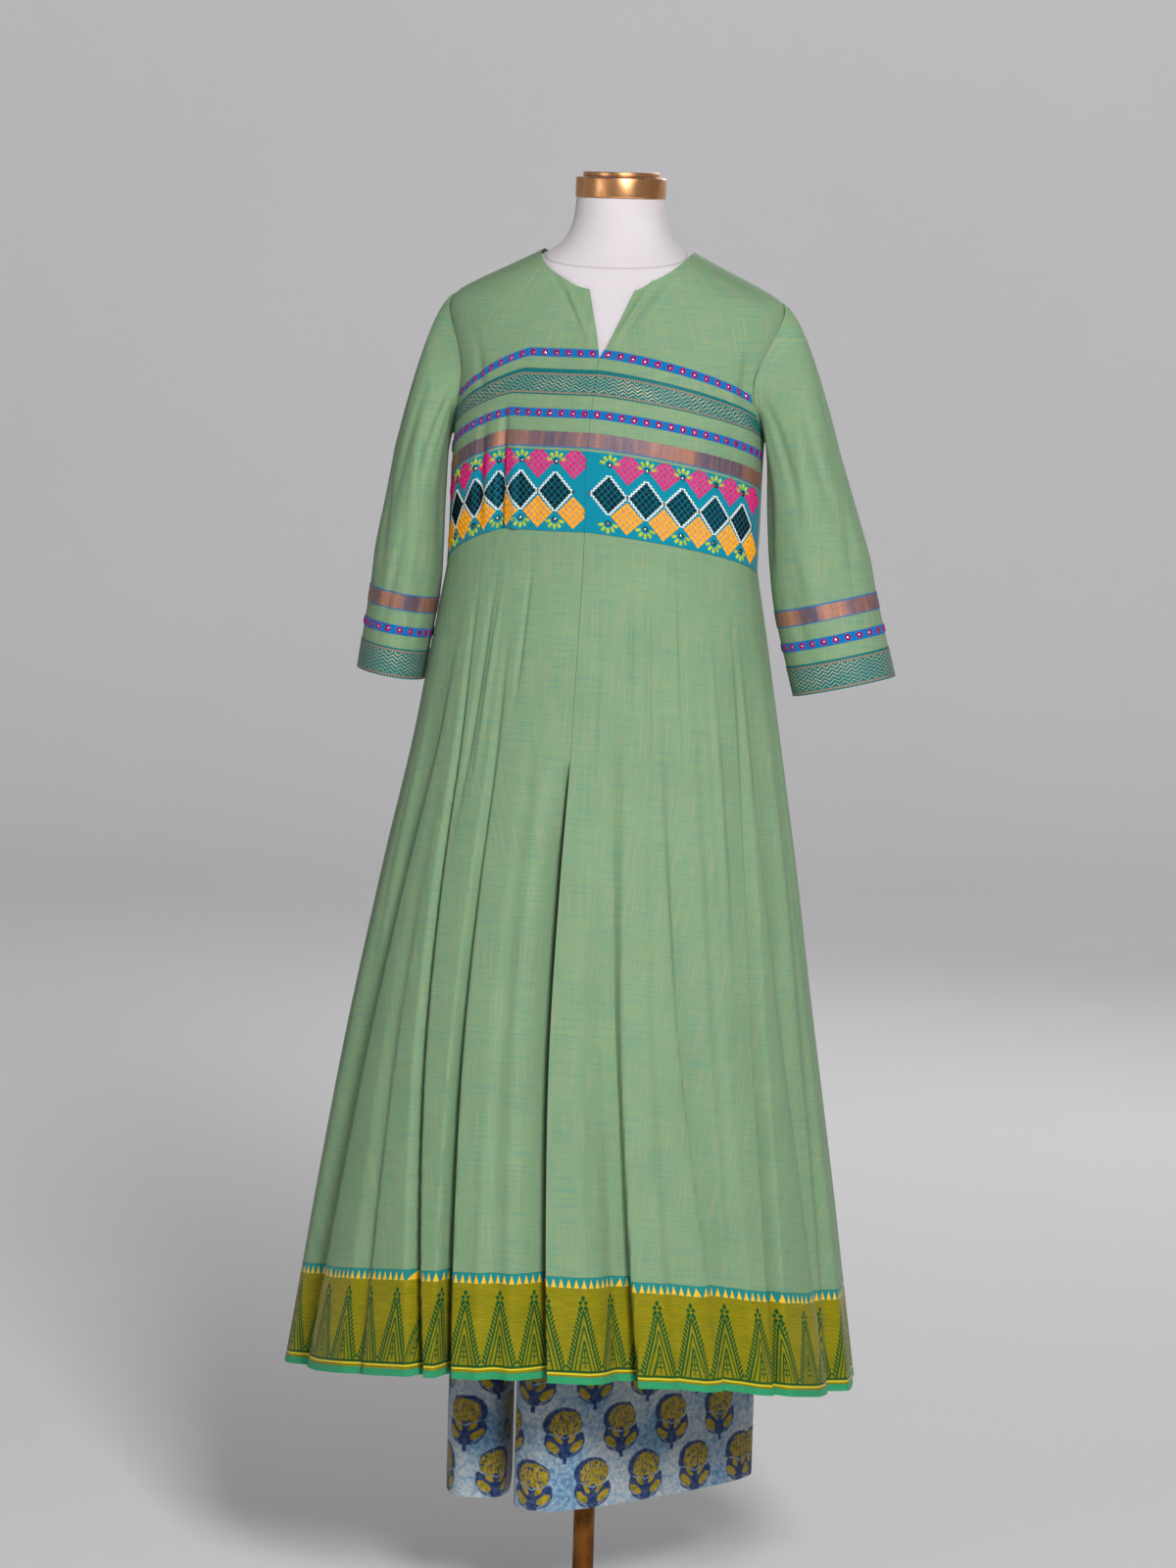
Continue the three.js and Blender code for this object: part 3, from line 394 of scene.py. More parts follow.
def back_grid(heights, acrosses):
    height, across = np.meshgrid(heights, acrosses, indexing="ij")
    reach = np.abs(across)
    hand = np.where(across < 0, -1.0, 1.0)
    edge_turn = 90 + (90 - armhole_turn(height)) * BACK_ARMHOLE_SHARE
    share = (height - WAIST_SEAM_SIDE) / (SHOULDER_TIP - WAIST_SEAM_SIDE)
    top_z, top_x = back_top(reach)
    z = mix(WAIST_SEAM_SIDE, top_z, share)
    edge = kurti_section(height)["half"] * sind(edge_turn)
    shoulder_half = float(kurti_section(np.array(SHOULDER_TIP))["half"])
    x = edge * mix(sind(90 * reach), top_x / shoulder_half, share)
    turn = np.degrees(np.arcsin(np.minimum(x / kurti_section(z)["half"], 1.0)))
    points = kurti_point(hand * (180 - turn), z)
    for depth, at, lean, wide, high in BACK_CREASES:
        points[..., 1] -= depth * bell((across - at - lean * share) / wide) * bell(2 * (share - high))
    return points


# Skirt

def waist_seam_height(turn):
    reach = np.abs(np.mod(turn + 180, 360) - 180)
    share = np.minimum(reach / 90, 1)
    fall = np.where(np.mod(turn, 360) < 180, fall_share(share, 1), fall_share(share, -1))
    return WAIST_SEAM_CENTRE - SIDE_DROP * fall


def hem_height(turn):
    return HEM_SIDE + (HEM_FRONT - HEM_SIDE) * np.maximum(cosd(turn), 0) ** HEM_ROUNDING


def skirt_fold(turn, down):
    """How far a point of the skirt is drawn in, in mm, and turned, in degrees."""
    around = np.mod(turn + 90, 360) - 90
    inward = np.zeros_like(turn)
    turned = np.zeros_like(turn)
    folds = zip(*(SKIRT_FOLDS[name] for name in FOLD_NAMES))
    for at, top, depth, wide, lean, lap, back, starts in folds:
        run = clip01((down - starts) / (1 - starts))
        growth = run**FOLD_GROWTH
        across = (around - mix(top, at, run)) / wide
        shape = bell(across)
        inward += depth * shape * growth
        turned += lean * shape * growth
        if lap:
            wave = LAP_CRISPNESS * np.sin(np.pi * np.clip(across, -1, 1))
            turned -= abs(lap) * wide * np.arcsin(wave) / math.asin(LAP_CRISPNESS) * growth
            under = across * np.sign(lap)
            step = clip01(under / LAP_STEP + 0.5)
            inward += back * growth * step * (1 - ease01((under - 1) / LAP_RECOVERY))
    for at, depth, wide, starts, ends in zip(*(SKIRT_CREASES[name] for name in CREASE_NAMES)):
        run = bell(2 * clip01((down - starts) / (ends - starts)) - 1)
        open_end = ease01((down - starts) / (ends - starts)) if ends >= 1 else run
        inward += CREASE_STRENGTH * depth * bell((around - at) / wide) * open_end
    return inward, turned


SLIT_TOP_SHARE = (WAIST_SEAM_CENTRE - SLIT_TOP) / (WAIST_SEAM_CENTRE - HEM_FRONT)


def slit_fold(turn, down, right_front):
    """The right front's slit edge turns in and runs under the left front's edge."""
    share = clip01((down - SLIT_TOP_SHARE) / SLIT_OPENS["over"]) ** SLIT_OPENS["power"]
    broad = np.where(right_front, clip01(1 + turn / SLIT_TURN_IN["wide"]), 0.0)
    sharp = np.where(right_front, clip01(1 + turn / SLIT_TURN_IN["edge"]), 0.0)
    inward = share * (SLIT_TURN_IN["broad"] * ease01(broad) + SLIT_TURN_IN["sharp"] * sharp)
    overlap = SLIT_TURN_IN["overlap"] * share * broad
    return inward, overlap + SLIT_SWING * down**2 * np.maximum(cosd(turn), 0)


def skirt_grid(downs, turns, right_front):
    down, turn = np.meshgrid(downs, turns, indexing="ij")
    fold_in, fold_turn = skirt_fold(turn, down)
    slit_in, slit_turn = slit_fold(turn, down, right_front)
    front = np.abs(np.mod(turn + 180, 360) - 180) < 90 + 1e-6
    inward = fold_in + np.where(front, slit_in, 0.0)
    turned = turn + fold_turn + np.where(front, slit_turn, 0.0)
    z = mix(waist_seam_height(turn), hem_height(turn), down)
    points = kurti_point(np.mod(turned + 180, 360) - 180, z)
    centre = stack(kurti_section(z)["shift"], 0.0, z)
    return points + unit(centre - points) * inward[..., None]


# Sleeves

def sleeve_ring(side, z, around):
    rows = SLEEVES[side]
    across = side * smooth_at(rows, "across", z) * cosd(around)
    depth = -smooth_at(rows, "depth", z) * sind(around)
    spin_cos = cosd(SLEEVE_TURN[side])
    spin_sin = sind(SLEEVE_TURN[side])
    x = across * spin_cos - depth * spin_sin + side * smooth_at(rows, "out", z)
    y = across * spin_sin + depth * spin_cos
    return stack(x, y, z + smooth_at(rows, "tilt", z) * cosd(around))


def armhole_point(side, around):
    fold = np.minimum(around, 360 - around)
    z = np.interp(fold, ARMHOLE_ROUND["round"], ARMHOLE_ROUND["z"])
    front_turn = armhole_turn(z)
    back_turn = 90 + (90 - front_turn) * BACK_ARMHOLE_SHARE
    return kurti_point(side * np.where(around <= 180, front_turn, back_turn), z)


# Creases of the sleeves: where round and how high, how wide both ways, and their slant
SLEEVE_CREASES = table(
    "round z depth wide high slant",
    (60, 1340, 3.6, 14, 95, 0.14), (84, 1310, -2.8, 15, 110, -0.08), (108, 1350, 4.2, 13, 90, 0.2),
    (136, 1330, -2.6, 15, 70, 0.2), (40, 1240, 2.8, 13, 80, -0.15), (72, 1190, 3.2, 12, 90, 0.14),
    (98, 1200, -2.4, 13, 80, 0.10), (20, 1390, 2.5, 14, 70, 0.1), (150, 1260, 3.4, 16, 80, -0.1),
    (230, 1300, 4.4, 16, 90, 0.12), (280, 1350, 3.6, 16, 80, -0.15), (260, 1220, 3.4, 16, 90, 0.1),
    (320, 1280, -3.0, 16, 90, -0.1), (118, 1150, 2.2, 14, 60, 0.08), (180, 1310, 3.6, 16, 90, 0.0),
    (200, 1180, -2.4, 18, 80, 0.05),
)


def sleeve_creases(around, z):
    depth = np.zeros_like(around)
    rows = zip(*(SLEEVE_CREASES[name] for name in ("round", "z", "depth", "wide", "high", "slant")))
    for at, height, deep, wide, high, slant in rows:
        off = np.mod(around - at - slant * (z - height) + 180, 360) - 180
        depth += deep * bell(off / wide) * bell((z - height) / high)
    return depth


def sleeve_grid(side, heights, climbs, around):
    """Rows up the hanging part, then rows up the curve to the armhole."""
    top = SLEEVES[side]["z"][-1]
    z, turn = np.meshgrid(heights, around, indexing="ij")
    lower = sleeve_ring(side, z, turn)
    climb, turn_up = np.meshgrid(climbs, around, indexing="ij")
    cap = (1 + cosd(turn_up)) / 2
    fall = mix(SLEEVE_SET["pit"], SLEEVE_SET["cap"], cap)
    away = unit(stack(side + 0 * turn_up, SLEEVE_SET["across"] * sind(turn_up), fall))
    start = armhole_point(side, turn_up) + away * ARMHOLE_SEAM
    reach = mix(SLEEVE_PIT_REACH, SLEEVE_CAP_REACH, np.sqrt(cap))
    control = start + away * reach[..., None]
    end = sleeve_ring(side, np.full_like(turn_up, top), turn_up)
    t = (1 - climb)[..., None]
    upper = (1 - t) ** 2 * start + 2 * t * (1 - t) * control + t**2 * end
    grid = np.concatenate([lower, upper])
    spun = np.concatenate([turn, turn_up])
    axis = stack(side * smooth_at(SLEEVES[side], "out", grid[..., 2]), 0.0, grid[..., 2])
    near_seam = np.concatenate([np.ones_like(turn), clip01(t[..., 0] / 0.5)])
    depth = sleeve_creases(spun, grid[..., 2]) * near_seam
    return grid + unit(axis - grid) * depth[..., None]


# Pants

def seat_point(around, z, side, front):
    section = form_section(np.maximum(z, SEAT_FULLEST))
    ease = smooth_at(PANTS_EASE, "ease", z)
    depth = -section["front"] - ease if front else section["back"] + ease
    return stack(side * (section["half"] + ease) * cosd(around / 2), depth * sind(around / 2), z)


def crotch_point(around, side, front):
    section = form_section(np.array(SEAT_FULLEST))
    outer = side * (section["half"] + PANTS_EASE["ease"][0])
    inner = CROTCH_SHIFT + side * CROTCH_CLEAR
    centre = (outer + inner) / 2
    half = np.abs(outer - inner) / 2
    depth = -section["front"] if front else section["back"]
    return stack(centre + side * half * cosd(around), depth * sind(around), CROTCH)


def squared(value, side):
    return np.sign(value) * np.abs(value) ** LEG_SQUARENESS[side]


def leg_hem_point(around, side, front):
    leg = LEG_HEM[side]
    turn = leg["outseam"] + (around if front else -around)
    along = np.array([cosd(leg["turn"]), sind(leg["turn"]), 0.0])
    across = np.array([side * along[1], -side * along[0], 0.0])
    centre = np.array([leg["x"], leg["y"], 0.0])
    long_part = (leg["long"] * squared(cosd(turn), side))[..., None] * along
    short_part = (leg["short"] * squared(sind(turn), side))[..., None] * across
    return centre + long_part + short_part


def pants_grid(side, front, heights, arounds):
    z, around = np.meshgrid(heights, arounds, indexing="ij")
    seat = seat_point(around, np.maximum(z, SEAT_END), side, front)
    crotch = crotch_point(around, side, front)
    hem = leg_hem_point(around, side, front)
    to_crotch = ease01((SEAT_END - z) / (SEAT_END - CROTCH))[..., None]
    to_hem = ease01((CROTCH - z) / (CROTCH - LEG_SET))[..., None]
    points = np.where((z >= CROTCH)[..., None], mix(seat, crotch, to_crotch), mix(crotch, hem, to_hem))
    points[..., 2] = z
    return points


# Meshes

def add_mesh(name, points, faces, corner_uv=None, material=None, sharp=45.0):
    """A smooth-shaded object from points in mm and lists of faces."""
    mesh = bpy.data.meshes.new(name)
    face_lists = [face.tolist() for face in faces]
    all_faces = [face for part in face_lists for face in part]
    mesh.from_pydata((np.asarray(points) * METRES).tolist(), [], all_faces)
    if corner_uv is not None:
        layer = mesh.uv_layers.new(name="cloth")
        corners = np.concatenate([uv.reshape(-1) for uv in corner_uv])
        layer.data.foreach_set("uv", corners.astype(np.float32))
    mesh.polygons.foreach_set("use_smooth", [True] * len(mesh.polygons))
    mesh.set_sharp_from_angle(angle=math.radians(sharp))
    mesh.update()
    obj = bpy.data.objects.new(name, mesh)
    bpy.context.scene.collection.objects.link(obj)
    if material is not None:
        mesh.materials.append(material)
    return obj


class Surface:
    """Cloth as a grid of points in mm. Rows go along the panel, columns go round it."""

    def __init__(self, grid, closed=False, centre=0.5, straight=False):
        self.grid = grid
        self.closed = closed
        self.normals = self.outward_normals()
        wrapped = np.concatenate([grid, grid[:, :1]], axis=1) if closed else grid
        across = np.linalg.norm(np.diff(wrapped, axis=1), axis=-1)
        along = np.linalg.norm(np.diff(grid, axis=0), axis=-1)
        u = np.concatenate([np.zeros((len(grid), 1)), np.cumsum(across, axis=1)], axis=1)
        if straight:
            u = np.broadcast_to(u[len(u) // 2], u.shape)
            along = np.broadcast_to(np.median(along, axis=1, keepdims=True), along.shape)
        self.u = u - u[:, [int(centre * (u.shape[1] - 1))]]
        v = np.concatenate([np.zeros((1, grid.shape[1])), np.cumsum(along, axis=0)], axis=0)
        self.v = np.concatenate([v, v[:, :1]], axis=1) if closed else v
        self.grain = (self.u, self.v)

    def upright_grain(self, radius, middle=0.0):
        """Turns the weave upright: round the panel's own axis, and straight up."""
        grid = np.concatenate([self.grid, self.grid[:, :1]], axis=1) if self.closed else self.grid
        axis_x = self.grid[..., 0].mean() if self.closed else middle
        axis_y = self.grid[..., 1].mean() if self.closed else 0.0
        turn = np.unwrap(np.arctan2(grid[..., 0] - axis_x, axis_y - grid[..., 1]), axis=1)
        self.grain = (turn * radius, grid[..., 2])

    def outward_normals(self):
        grid = self.grid
        if self.closed:
            around = np.roll(grid, -1, axis=1) - np.roll(grid, 1, axis=1)
        else:
            around = np.gradient(grid, axis=1)
        normal = unit(np.cross(around, np.gradient(grid, axis=0)))
        outward = (normal * (grid - grid.mean(axis=1, keepdims=True))).sum()
        return normal * np.sign(outward)

    def flat_size(self):
        """Width, length and area of the cloth laid flat, in metres."""
        width = (self.u[:, -1] - self.u[:, 0]).max() * METRES
        length = (self.v[-1] - self.v[0]).max() * METRES
        return width, length, self.area() * METRES**2

    def area(self):
        grid = np.concatenate([self.grid, self.grid[:, :1]], axis=1) if self.closed else self.grid
        first = grid[1:, 1:] - grid[:-1, :-1]
        second = grid[1:, :-1] - grid[:-1, 1:]
        return float(np.linalg.norm(np.cross(first, second), axis=-1).sum() / 2)

    def at(self, u, v, height=0.0):
        """Points at u mm round and v mm along, by the middle row and column, height mm off."""
        row_u = self.u[len(self.u) // 2]
        column_v = self.v[:, self.v.shape[1] // 2]
        column = np.interp(u, row_u, np.arange(len(row_u)))
        row = np.interp(v, column_v, np.arange(len(column_v)))
        wrapped = self.grid
        normals = self.normals
        if self.closed:
            wrapped = np.concatenate([wrapped, wrapped[:, :1]], axis=1)
            normals = np.concatenate([normals, normals[:, :1]], axis=1)
        r = np.clip(np.floor(row).astype(int), 0, len(wrapped) - 2)
        c = np.clip(np.floor(column).astype(int), 0, wrapped.shape[1] - 2)
        fr = (row - r)[..., None]
        fc = (column - c)[..., None]

        def blend(values):
            low = mix(values[r, c], values[r, c + 1], fc)
            high = mix(values[r + 1, c], values[r + 1, c + 1], fc)
            return mix(low, high, fr)

        return blend(wrapped) + unit(blend(normals)) * np.asarray(height)[..., None]

    def wall(self, name, thickness, material, lift=0.0):
        """A closed thin wall on the surface, its middle lifted off by a distance."""
        rows, columns = self.grid.shape[:2]
        outer = self.grid + self.normals * (lift + thickness / 2)
        inner = self.grid + self.normals * (lift - thickness / 2)
        points = np.concatenate([outer.reshape(-1, 3), inner.reshape(-1, 3)])
        spans = columns if self.closed else columns - 1
        r, k = np.meshgrid(np.arange(rows - 1), np.arange(spans), indexing="ij")
        r = r.ravel()
        k = k.ravel()
        parts = []
        uvs = []

        def quads(corners):
            """corners: (side, row, column) four times, as arrays."""
            index = [(s * rows + row) * columns + column % columns for s, row, column in corners]
            parts.append(np.stack(np.broadcast_arrays(*index), axis=-1).reshape(-1, 4))
            u, v = self.grain
            uv = [np.stack([u[row, column], v[row, column]], axis=-1) for _, row, column in corners]
            uvs.append(np.stack(uv, axis=1))

        quads([(0, r, k), (0, r, k + 1), (0, r + 1, k + 1), (0, r + 1, k)])
        quads([(1, r, k), (1, r + 1, k), (1, r + 1, k + 1), (1, r, k + 1)])
        j = np.arange(spans)
        last = rows - 1
        low = np.zeros_like(j)
        high = np.full_like(j, last)
        quads([(0, low, j + 1), (0, low, j), (1, low, j), (1, low, j + 1)])
        quads([(0, high, j), (0, high, j + 1), (1, high, j + 1), (1, high, j)])
        if not self.closed:
            i = np.arange(rows - 1)
            first = np.zeros_like(i)
            end = np.full_like(i, columns - 1)
            quads([(0, i, first), (0, i + 1, first), (1, i + 1, first), (1, i, first)])
            quads([(0, i + 1, end), (0, i, end), (1, i, end), (1, i + 1, end)])
        first, second, third = (points[parts[0][:, corner]] for corner in range(3))
        facing = np.cross(second - first, third - first)
        if np.einsum("ij,ij->", first - points.mean(0), facing) < 0:
            parts = [part[:, ::-1] for part in parts]
            uvs = [uv[:, ::-1] for uv in uvs]
        return add_mesh(name, points, parts, uvs, material)


def trimmed(grid, ends, rows):
    """The grid drawn back from its seams at the ends of its rows, and at its first and last rows."""
    grid = grid.copy()
    if ends:
        grid[:, 0] += unit(grid[:, 1] - grid[:, 0]) * ends
        grid[:, -1] += unit(grid[:, -2] - grid[:, -1]) * ends
    if rows:
        grid[0] += unit(grid[1] - grid[0]) * rows
        grid[-1] += unit(grid[-2] - grid[-1]) * rows
    return grid


def turned_solid(name, profile, columns, material):
    """A turned solid from (radius, height) pairs that start and end on the axis."""
    radii = np.array([row[0] for row in profile])
    heights = np.array([row[1] for row in profile])
    angle = np.linspace(0, 360, columns, endpoint=False)
    ring = [stack(radius * cosd(angle), radius * sind(angle), height + 0 * angle)
            for radius, height in zip(radii[1:-1], heights[1:-1])]
    points = np.concatenate([*ring, [[0, 0, heights[0]]], [[0, 0, heights[-1]]]])
    k = np.arange(columns)
    following = (k + 1) % columns
    quads = []
    for level in range(len(ring) - 1):
        low = level * columns
        high = low + columns
        quads.append(np.stack([low + k, low + following, high + following, high + k], -1))
    bottom = len(points) - 2
    top = len(points) - 1
    last = (len(ring) - 1) * columns
    caps = [
        np.stack([np.full(columns, bottom), following, k], -1),
        np.stack([np.full(columns, top), last + k, last + following], -1),
    ]
    return add_mesh(name, points, [*quads, *caps], material=material, sharp=35)


def rounded(profile, radius, steps=4):
    """The profile with each inner corner rounded off by a short curve."""
    out = [profile[0]]
    for before, corner, after in zip(profile, profile[1:], profile[2:]):
        here = np.array(corner, float)
        back = np.array(before, float) - here
        forth = np.array(after, float) - here
        cut = min(radius, np.linalg.norm(back) * 0.45, np.linalg.norm(forth) * 0.45)
        start = here + back / np.linalg.norm(back) * cut
        end = here + forth / np.linalg.norm(forth) * cut
        for k in range(steps + 1):
            t = k / steps
            out.append(tuple((1 - t) ** 2 * start + 2 * t * (1 - t) * here + t**2 * end))
    return [*out, profile[-1]]


# Materials

def srgb(red, green, blue):
    """A colour from its 0 to 255 values, as the linear values that shaders take."""
    values = np.array([red, green, blue]) / 255
    linear = np.where(values <= 0.04045, values / 12.92, ((values + 0.055) / 1.055) ** 2.4)
    return (*(float(value) for value in linear), 1.0)


class Value:
    """A number in a material's node graph, written as ordinary arithmetic."""

    def __init__(self, tree, socket):
        self.tree = tree
        self.socket = socket

    def math(self, operation, *others):
        node = self.tree.nodes.new("ShaderNodeMath")
        node.operation = operation
        self.tree.links.new(self.socket, node.inputs[0])
        for slot, other in enumerate(others, start=1):
            if isinstance(other, Value):
                self.tree.links.new(other.socket, node.inputs[slot])
            else:
                node.inputs[slot].default_value = other
        return Value(self.tree, node.outputs[0])

    def __add__(self, other):
        return self.math("ADD", other)

    def __sub__(self, other):
        return self.math("SUBTRACT", other)

    def __rsub__(self, other):
        return self.math("MULTIPLY_ADD", -1.0, other)

    def __mul__(self, other):
        return self.math("MULTIPLY", other)

    def abs(self):
        return self.math("ABSOLUTE")

    def sin(self):
        return self.math("SINE")

    def sqrt(self):
        return self.math("SQRT")

    def min(self, other):
        return self.math("MINIMUM", other)

    def max(self, other):
        return self.math("MAXIMUM", other)

    def clamp(self):
        return self.max(0.0).min(1.0)

    def wrap(self, period):
        """The offset from the middle of the repeat that it falls in."""
        return self.math("WRAP", period / 2, -period / 2)

    def above(self, low, high):
        """0 under low, 1 over high, smooth between."""
        node = self.tree.nodes.new("ShaderNodeMapRange")
        node.interpolation_type = "SMOOTHSTEP"
        self.tree.links.new(self.socket, node.inputs["Value"])
        node.inputs["From Min"].default_value = low
        node.inputs["From Max"].default_value = high
        return Value(self.tree, node.outputs["Result"])

    def below(self, edge, soft=0.25):
        """1 under the edge, 0 over it, smooth between."""
        return 1.0 - self.above(edge - soft, edge + soft)


GLOSS = 0.1


class Paint:
    """One material, with shorthand for the nodes that make its pattern."""

    def __init__(self, name, roughness=0.8, metallic=0.0, sheen=0.0):
        self.material = bpy.data.materials.new(name)
        self.material.use_nodes = True
        self.tree = self.material.node_tree
        self.shader = self.tree.nodes["Principled BSDF"]
        self.shader.inputs["Roughness"].default_value = roughness
        self.shader.inputs["Metallic"].default_value = metallic
        self.shader.inputs["Sheen Weight"].default_value = sheen
        self.shader.inputs["Specular IOR Level"].default_value = GLOSS
        self.uv = None

    def node(self, kind, **settings):
        made = self.tree.nodes.new(kind)
        for key, value in settings.items():
            setattr(made, key, value)
        return made

    def cloth(self):
        """The cloth's own coordinates in mm: u round, v along."""
        if self.uv is None:
            source = self.node("ShaderNodeUVMap", uv_map="cloth")
            parts = self.node("ShaderNodeSeparateXYZ")
            self.tree.links.new(source.outputs[0], parts.inputs[0])
            self.uv = (Value(self.tree, parts.outputs[0]), Value(self.tree, parts.outputs[1]))
        return self.uv

    def place(self):
        """The object's own coordinates in mm."""
        source = self.node("ShaderNodeTexCoord")
        parts = self.node("ShaderNodeSeparateXYZ")
        self.tree.links.new(source.outputs["Object"], parts.inputs[0])
        return [Value(self.tree, socket) * (1 / METRES) for socket in parts.outputs]

    def vector(self, x, y, z=0.0):
        made = self.node("ShaderNodeCombineXYZ")
        for slot, value in enumerate((x, y, z)):
            if isinstance(value, Value):
                self.tree.links.new(value.socket, made.inputs[slot])
            else:
                made.inputs[slot].default_value = value
        return made.outputs[0]

    def noise(self, x, y, z=0.0, detail=2.0, roughness=0.5):
        """Noise from 0 to 1, whose features are about one unit of x, y and z."""
        made = self.node("ShaderNodeTexNoise")
        made.inputs["Scale"].default_value = 1.0
        made.inputs["Detail"].default_value = detail
        made.inputs["Roughness"].default_value = roughness
        self.tree.links.new(self.vector(x, y, z), made.inputs["Vector"])
        return Value(self.tree, made.outputs["Fac"])

    def mix(self, share, low, high):
        """A colour between two, where either may be a colour's values or a socket."""
        made = self.node("ShaderNodeMix", data_type="RGBA")
        self.tree.links.new(share.socket, made.inputs[0])
        for slot, value in ((6, low), (7, high)):
            if isinstance(value, tuple):
                made.inputs[slot].default_value = value
            else:
                self.tree.links.new(value, made.inputs[slot])
        return made.outputs[2]

    def base(self, colour):
        self.tree.links.new(colour, self.shader.inputs["Base Color"])

    def drive(self, name, value):
        self.tree.links.new(value.socket, self.shader.inputs[name])

    def bump(self, height, distance, strength=1.0):
        """Bump from a height of 0 to 1 that stands for distance mm."""
        made = self.node("ShaderNodeBump")
        made.inputs["Strength"].default_value = strength
        made.inputs["Distance"].default_value = distance * METRES
        self.tree.links.new(height.socket, made.inputs["Height"])
        self.tree.links.new(made.outputs[0], self.shader.inputs["Normal"])


THREAD = 0.6


def weave(u, v):
    """A plain weave's height: threads of one pitch both ways."""
    over = (u * (math.pi / THREAD)).sin() * (v * (math.pi / THREAD)).sin()
    return over * 0.5 + 0.5


def green_silk():
    """Shot silk: green, with teal slubs across and pinkish ones along."""
    paint = Paint("green_silk", roughness=0.6, sheen=0.05)
    u, v = paint.cloth()
    weft = paint.noise(u * 0.024, v * 0.6, detail=5.0).above(0.44, 0.68)
    warp = paint.noise(u * 0.55, v * 0.016, 7.0, detail=5.0).above(0.46, 0.7)
    cloudy = paint.noise(u * 0.014, v * 0.014, 3.0, detail=2.0)
    ground = paint.mix(cloudy, srgb(112, 142, 106), srgb(128, 157, 117))
    teal = paint.mix(weft * 0.42, ground, srgb(66, 136, 126))
    paint.base(paint.mix(warp * 0.3, teal, srgb(170, 154, 128)))
    crumple = paint.noise(u * 0.06, v * 0.02, 5.0, detail=3.0)
    threads = weave(u, v) * 0.12 + weft * 0.1 + warp * 0.1
    paint.bump(crumple * 5.0 + threads, 0.35, 0.7)
    return paint.material


def plain_cloth(name, colour, other):
    """Plain woven cotton in two close colours."""
    paint = Paint(name, sheen=0.1)
    u, v = paint.cloth()
    uneven = paint.noise(u * 0.3, v * 0.3, detail=4.0)
    paint.base(paint.mix(uneven, colour, other))
    paint.bump(weave(u, v) + uneven * 0.8, 0.15, 0.7)
    return paint.material


COPPER_BAND_HEIGHT = 19.0
TOOTH = 1.9


def copper_zari():
    """Metal thread woven close, with thin blue toothed edges. Its colour carries painted light: bright
    copper for painted highlights and blue-grey for painted shade, in streaks and broad patches.
    """
    paint = Paint("copper_zari", roughness=0.42)
    u, v = paint.cloth()
    # Painted highlights and painted shade: streaks and broad patches switch the thread between lit copper
    # and shaded blue-grey.
    highlight_streak = paint.noise(u * 0.16, v * 0.02, detail=3.0).above(0.42, 0.66)
    broad = paint.noise(u * 0.016, 4.0, detail=1.0).above(0.44, 0.6)
    grain = paint.noise(u * 1.6, v * 0.9, 2.0, detail=3.0).above(0.4, 0.62)
    shaded_weave = paint.mix(grain, srgb(62, 72, 102), srgb(112, 96, 106))
    bright = paint.mix(grain, srgb(134, 88, 76), srgb(200, 146, 112))
    woven = paint.mix((broad * 0.6 + highlight_streak * 0.35 + 0.1).clamp(), shaded_weave, bright)
    middle = (v - COPPER_BAND_HEIGHT / 2).abs()
    teeth = middle + u.wrap(TOOTH).abs() * 0.9
    edge = teeth.above(COPPER_BAND_HEIGHT / 2 - 1.0, COPPER_BAND_HEIGHT / 2 - 0.5)
    paint.base(paint.mix(edge, woven, srgb(40, 110, 165)))
    paint.drive("Metallic", (1.0 - edge) * 0.3)
    paint.bump(grain + weave(u, v), 0.12, 0.6)
    return paint.material


CHEVRON = {"step": 4.2, "period": 10.4, "rise": 4.2}


def green_zari(name, high, ends):
    """Teal weave with gold chevrons stacked up it, and rows of dashes along both edges. The gold is a
    painted highlight in patches, and on the bodice band it reaches only so far from the centre seam;
    elsewhere the chevrons keep a painted shade of grey-green.
    """
    paint = Paint(name, roughness=0.45)
    u, v = paint.cloth()
    slant = u.wrap(CHEVRON["period"]).abs() * (2 * CHEVRON["rise"] / CHEVRON["period"])
    line = (v + slant).wrap(CHEVRON["step"]).abs().below(0.48, 0.25)
    middle = (v - high / 2).abs()
    field = middle.below(high / 2 - 4.4, 0.8)
    beside = (middle - (high / 2 - 2.6)).abs().below(1.1, 0.25)
    dash = u.wrap(3.0).abs().below(0.85, 0.2) * beside
    # Painted highlight: the chevrons show gold in patches, and past a given reach from the centre seam the
    # gold fades to the chevrons' painted shade.
    wear_and_glint = paint.noise(u * 0.02, v * 0.05, 3.0, detail=2.0).above(0.4, 0.62) * 0.5 + 0.5
    flecked = paint.noise(u * 1.3, v * 1.3, detail=2.0).above(0.3, 0.5)
    lit = wear_and_glint if ends is None else wear_and_glint * u.abs().below(ends, 26.0)
    uneven = paint.noise(u * 0.5, v * 0.5, detail=3.0)
    ground = paint.mix(uneven, srgb(2, 88, 94), srgb(30, 118, 116))
    shaded_weave = paint.mix(line * field * flecked * 0.45, ground, srgb(92, 140, 118))
    gold = paint.mix(line * field * flecked * lit, shaded_weave, srgb(226, 192, 138))
    paint.base(paint.mix(dash * flecked, gold, srgb(188, 132, 92)))
    paint.drive("Metallic", line * field * lit * 0.25)
    paint.bump(line + weave(u, v) * 0.5, 0.15, 0.6)
    return paint.material


# The printed border, in mm. Its top strip is teal with yellow spikes, and tree shapes stand on
# a line near its foot.
SPIKE = {"pitch": 8.5, "tip": 2.0, "foot": 11.5, "half": 3.0}
TREE = {"pitch": 41.0, "foot": 101.0, "half": 15.5, "apex": 66.0, "top": 79.0}


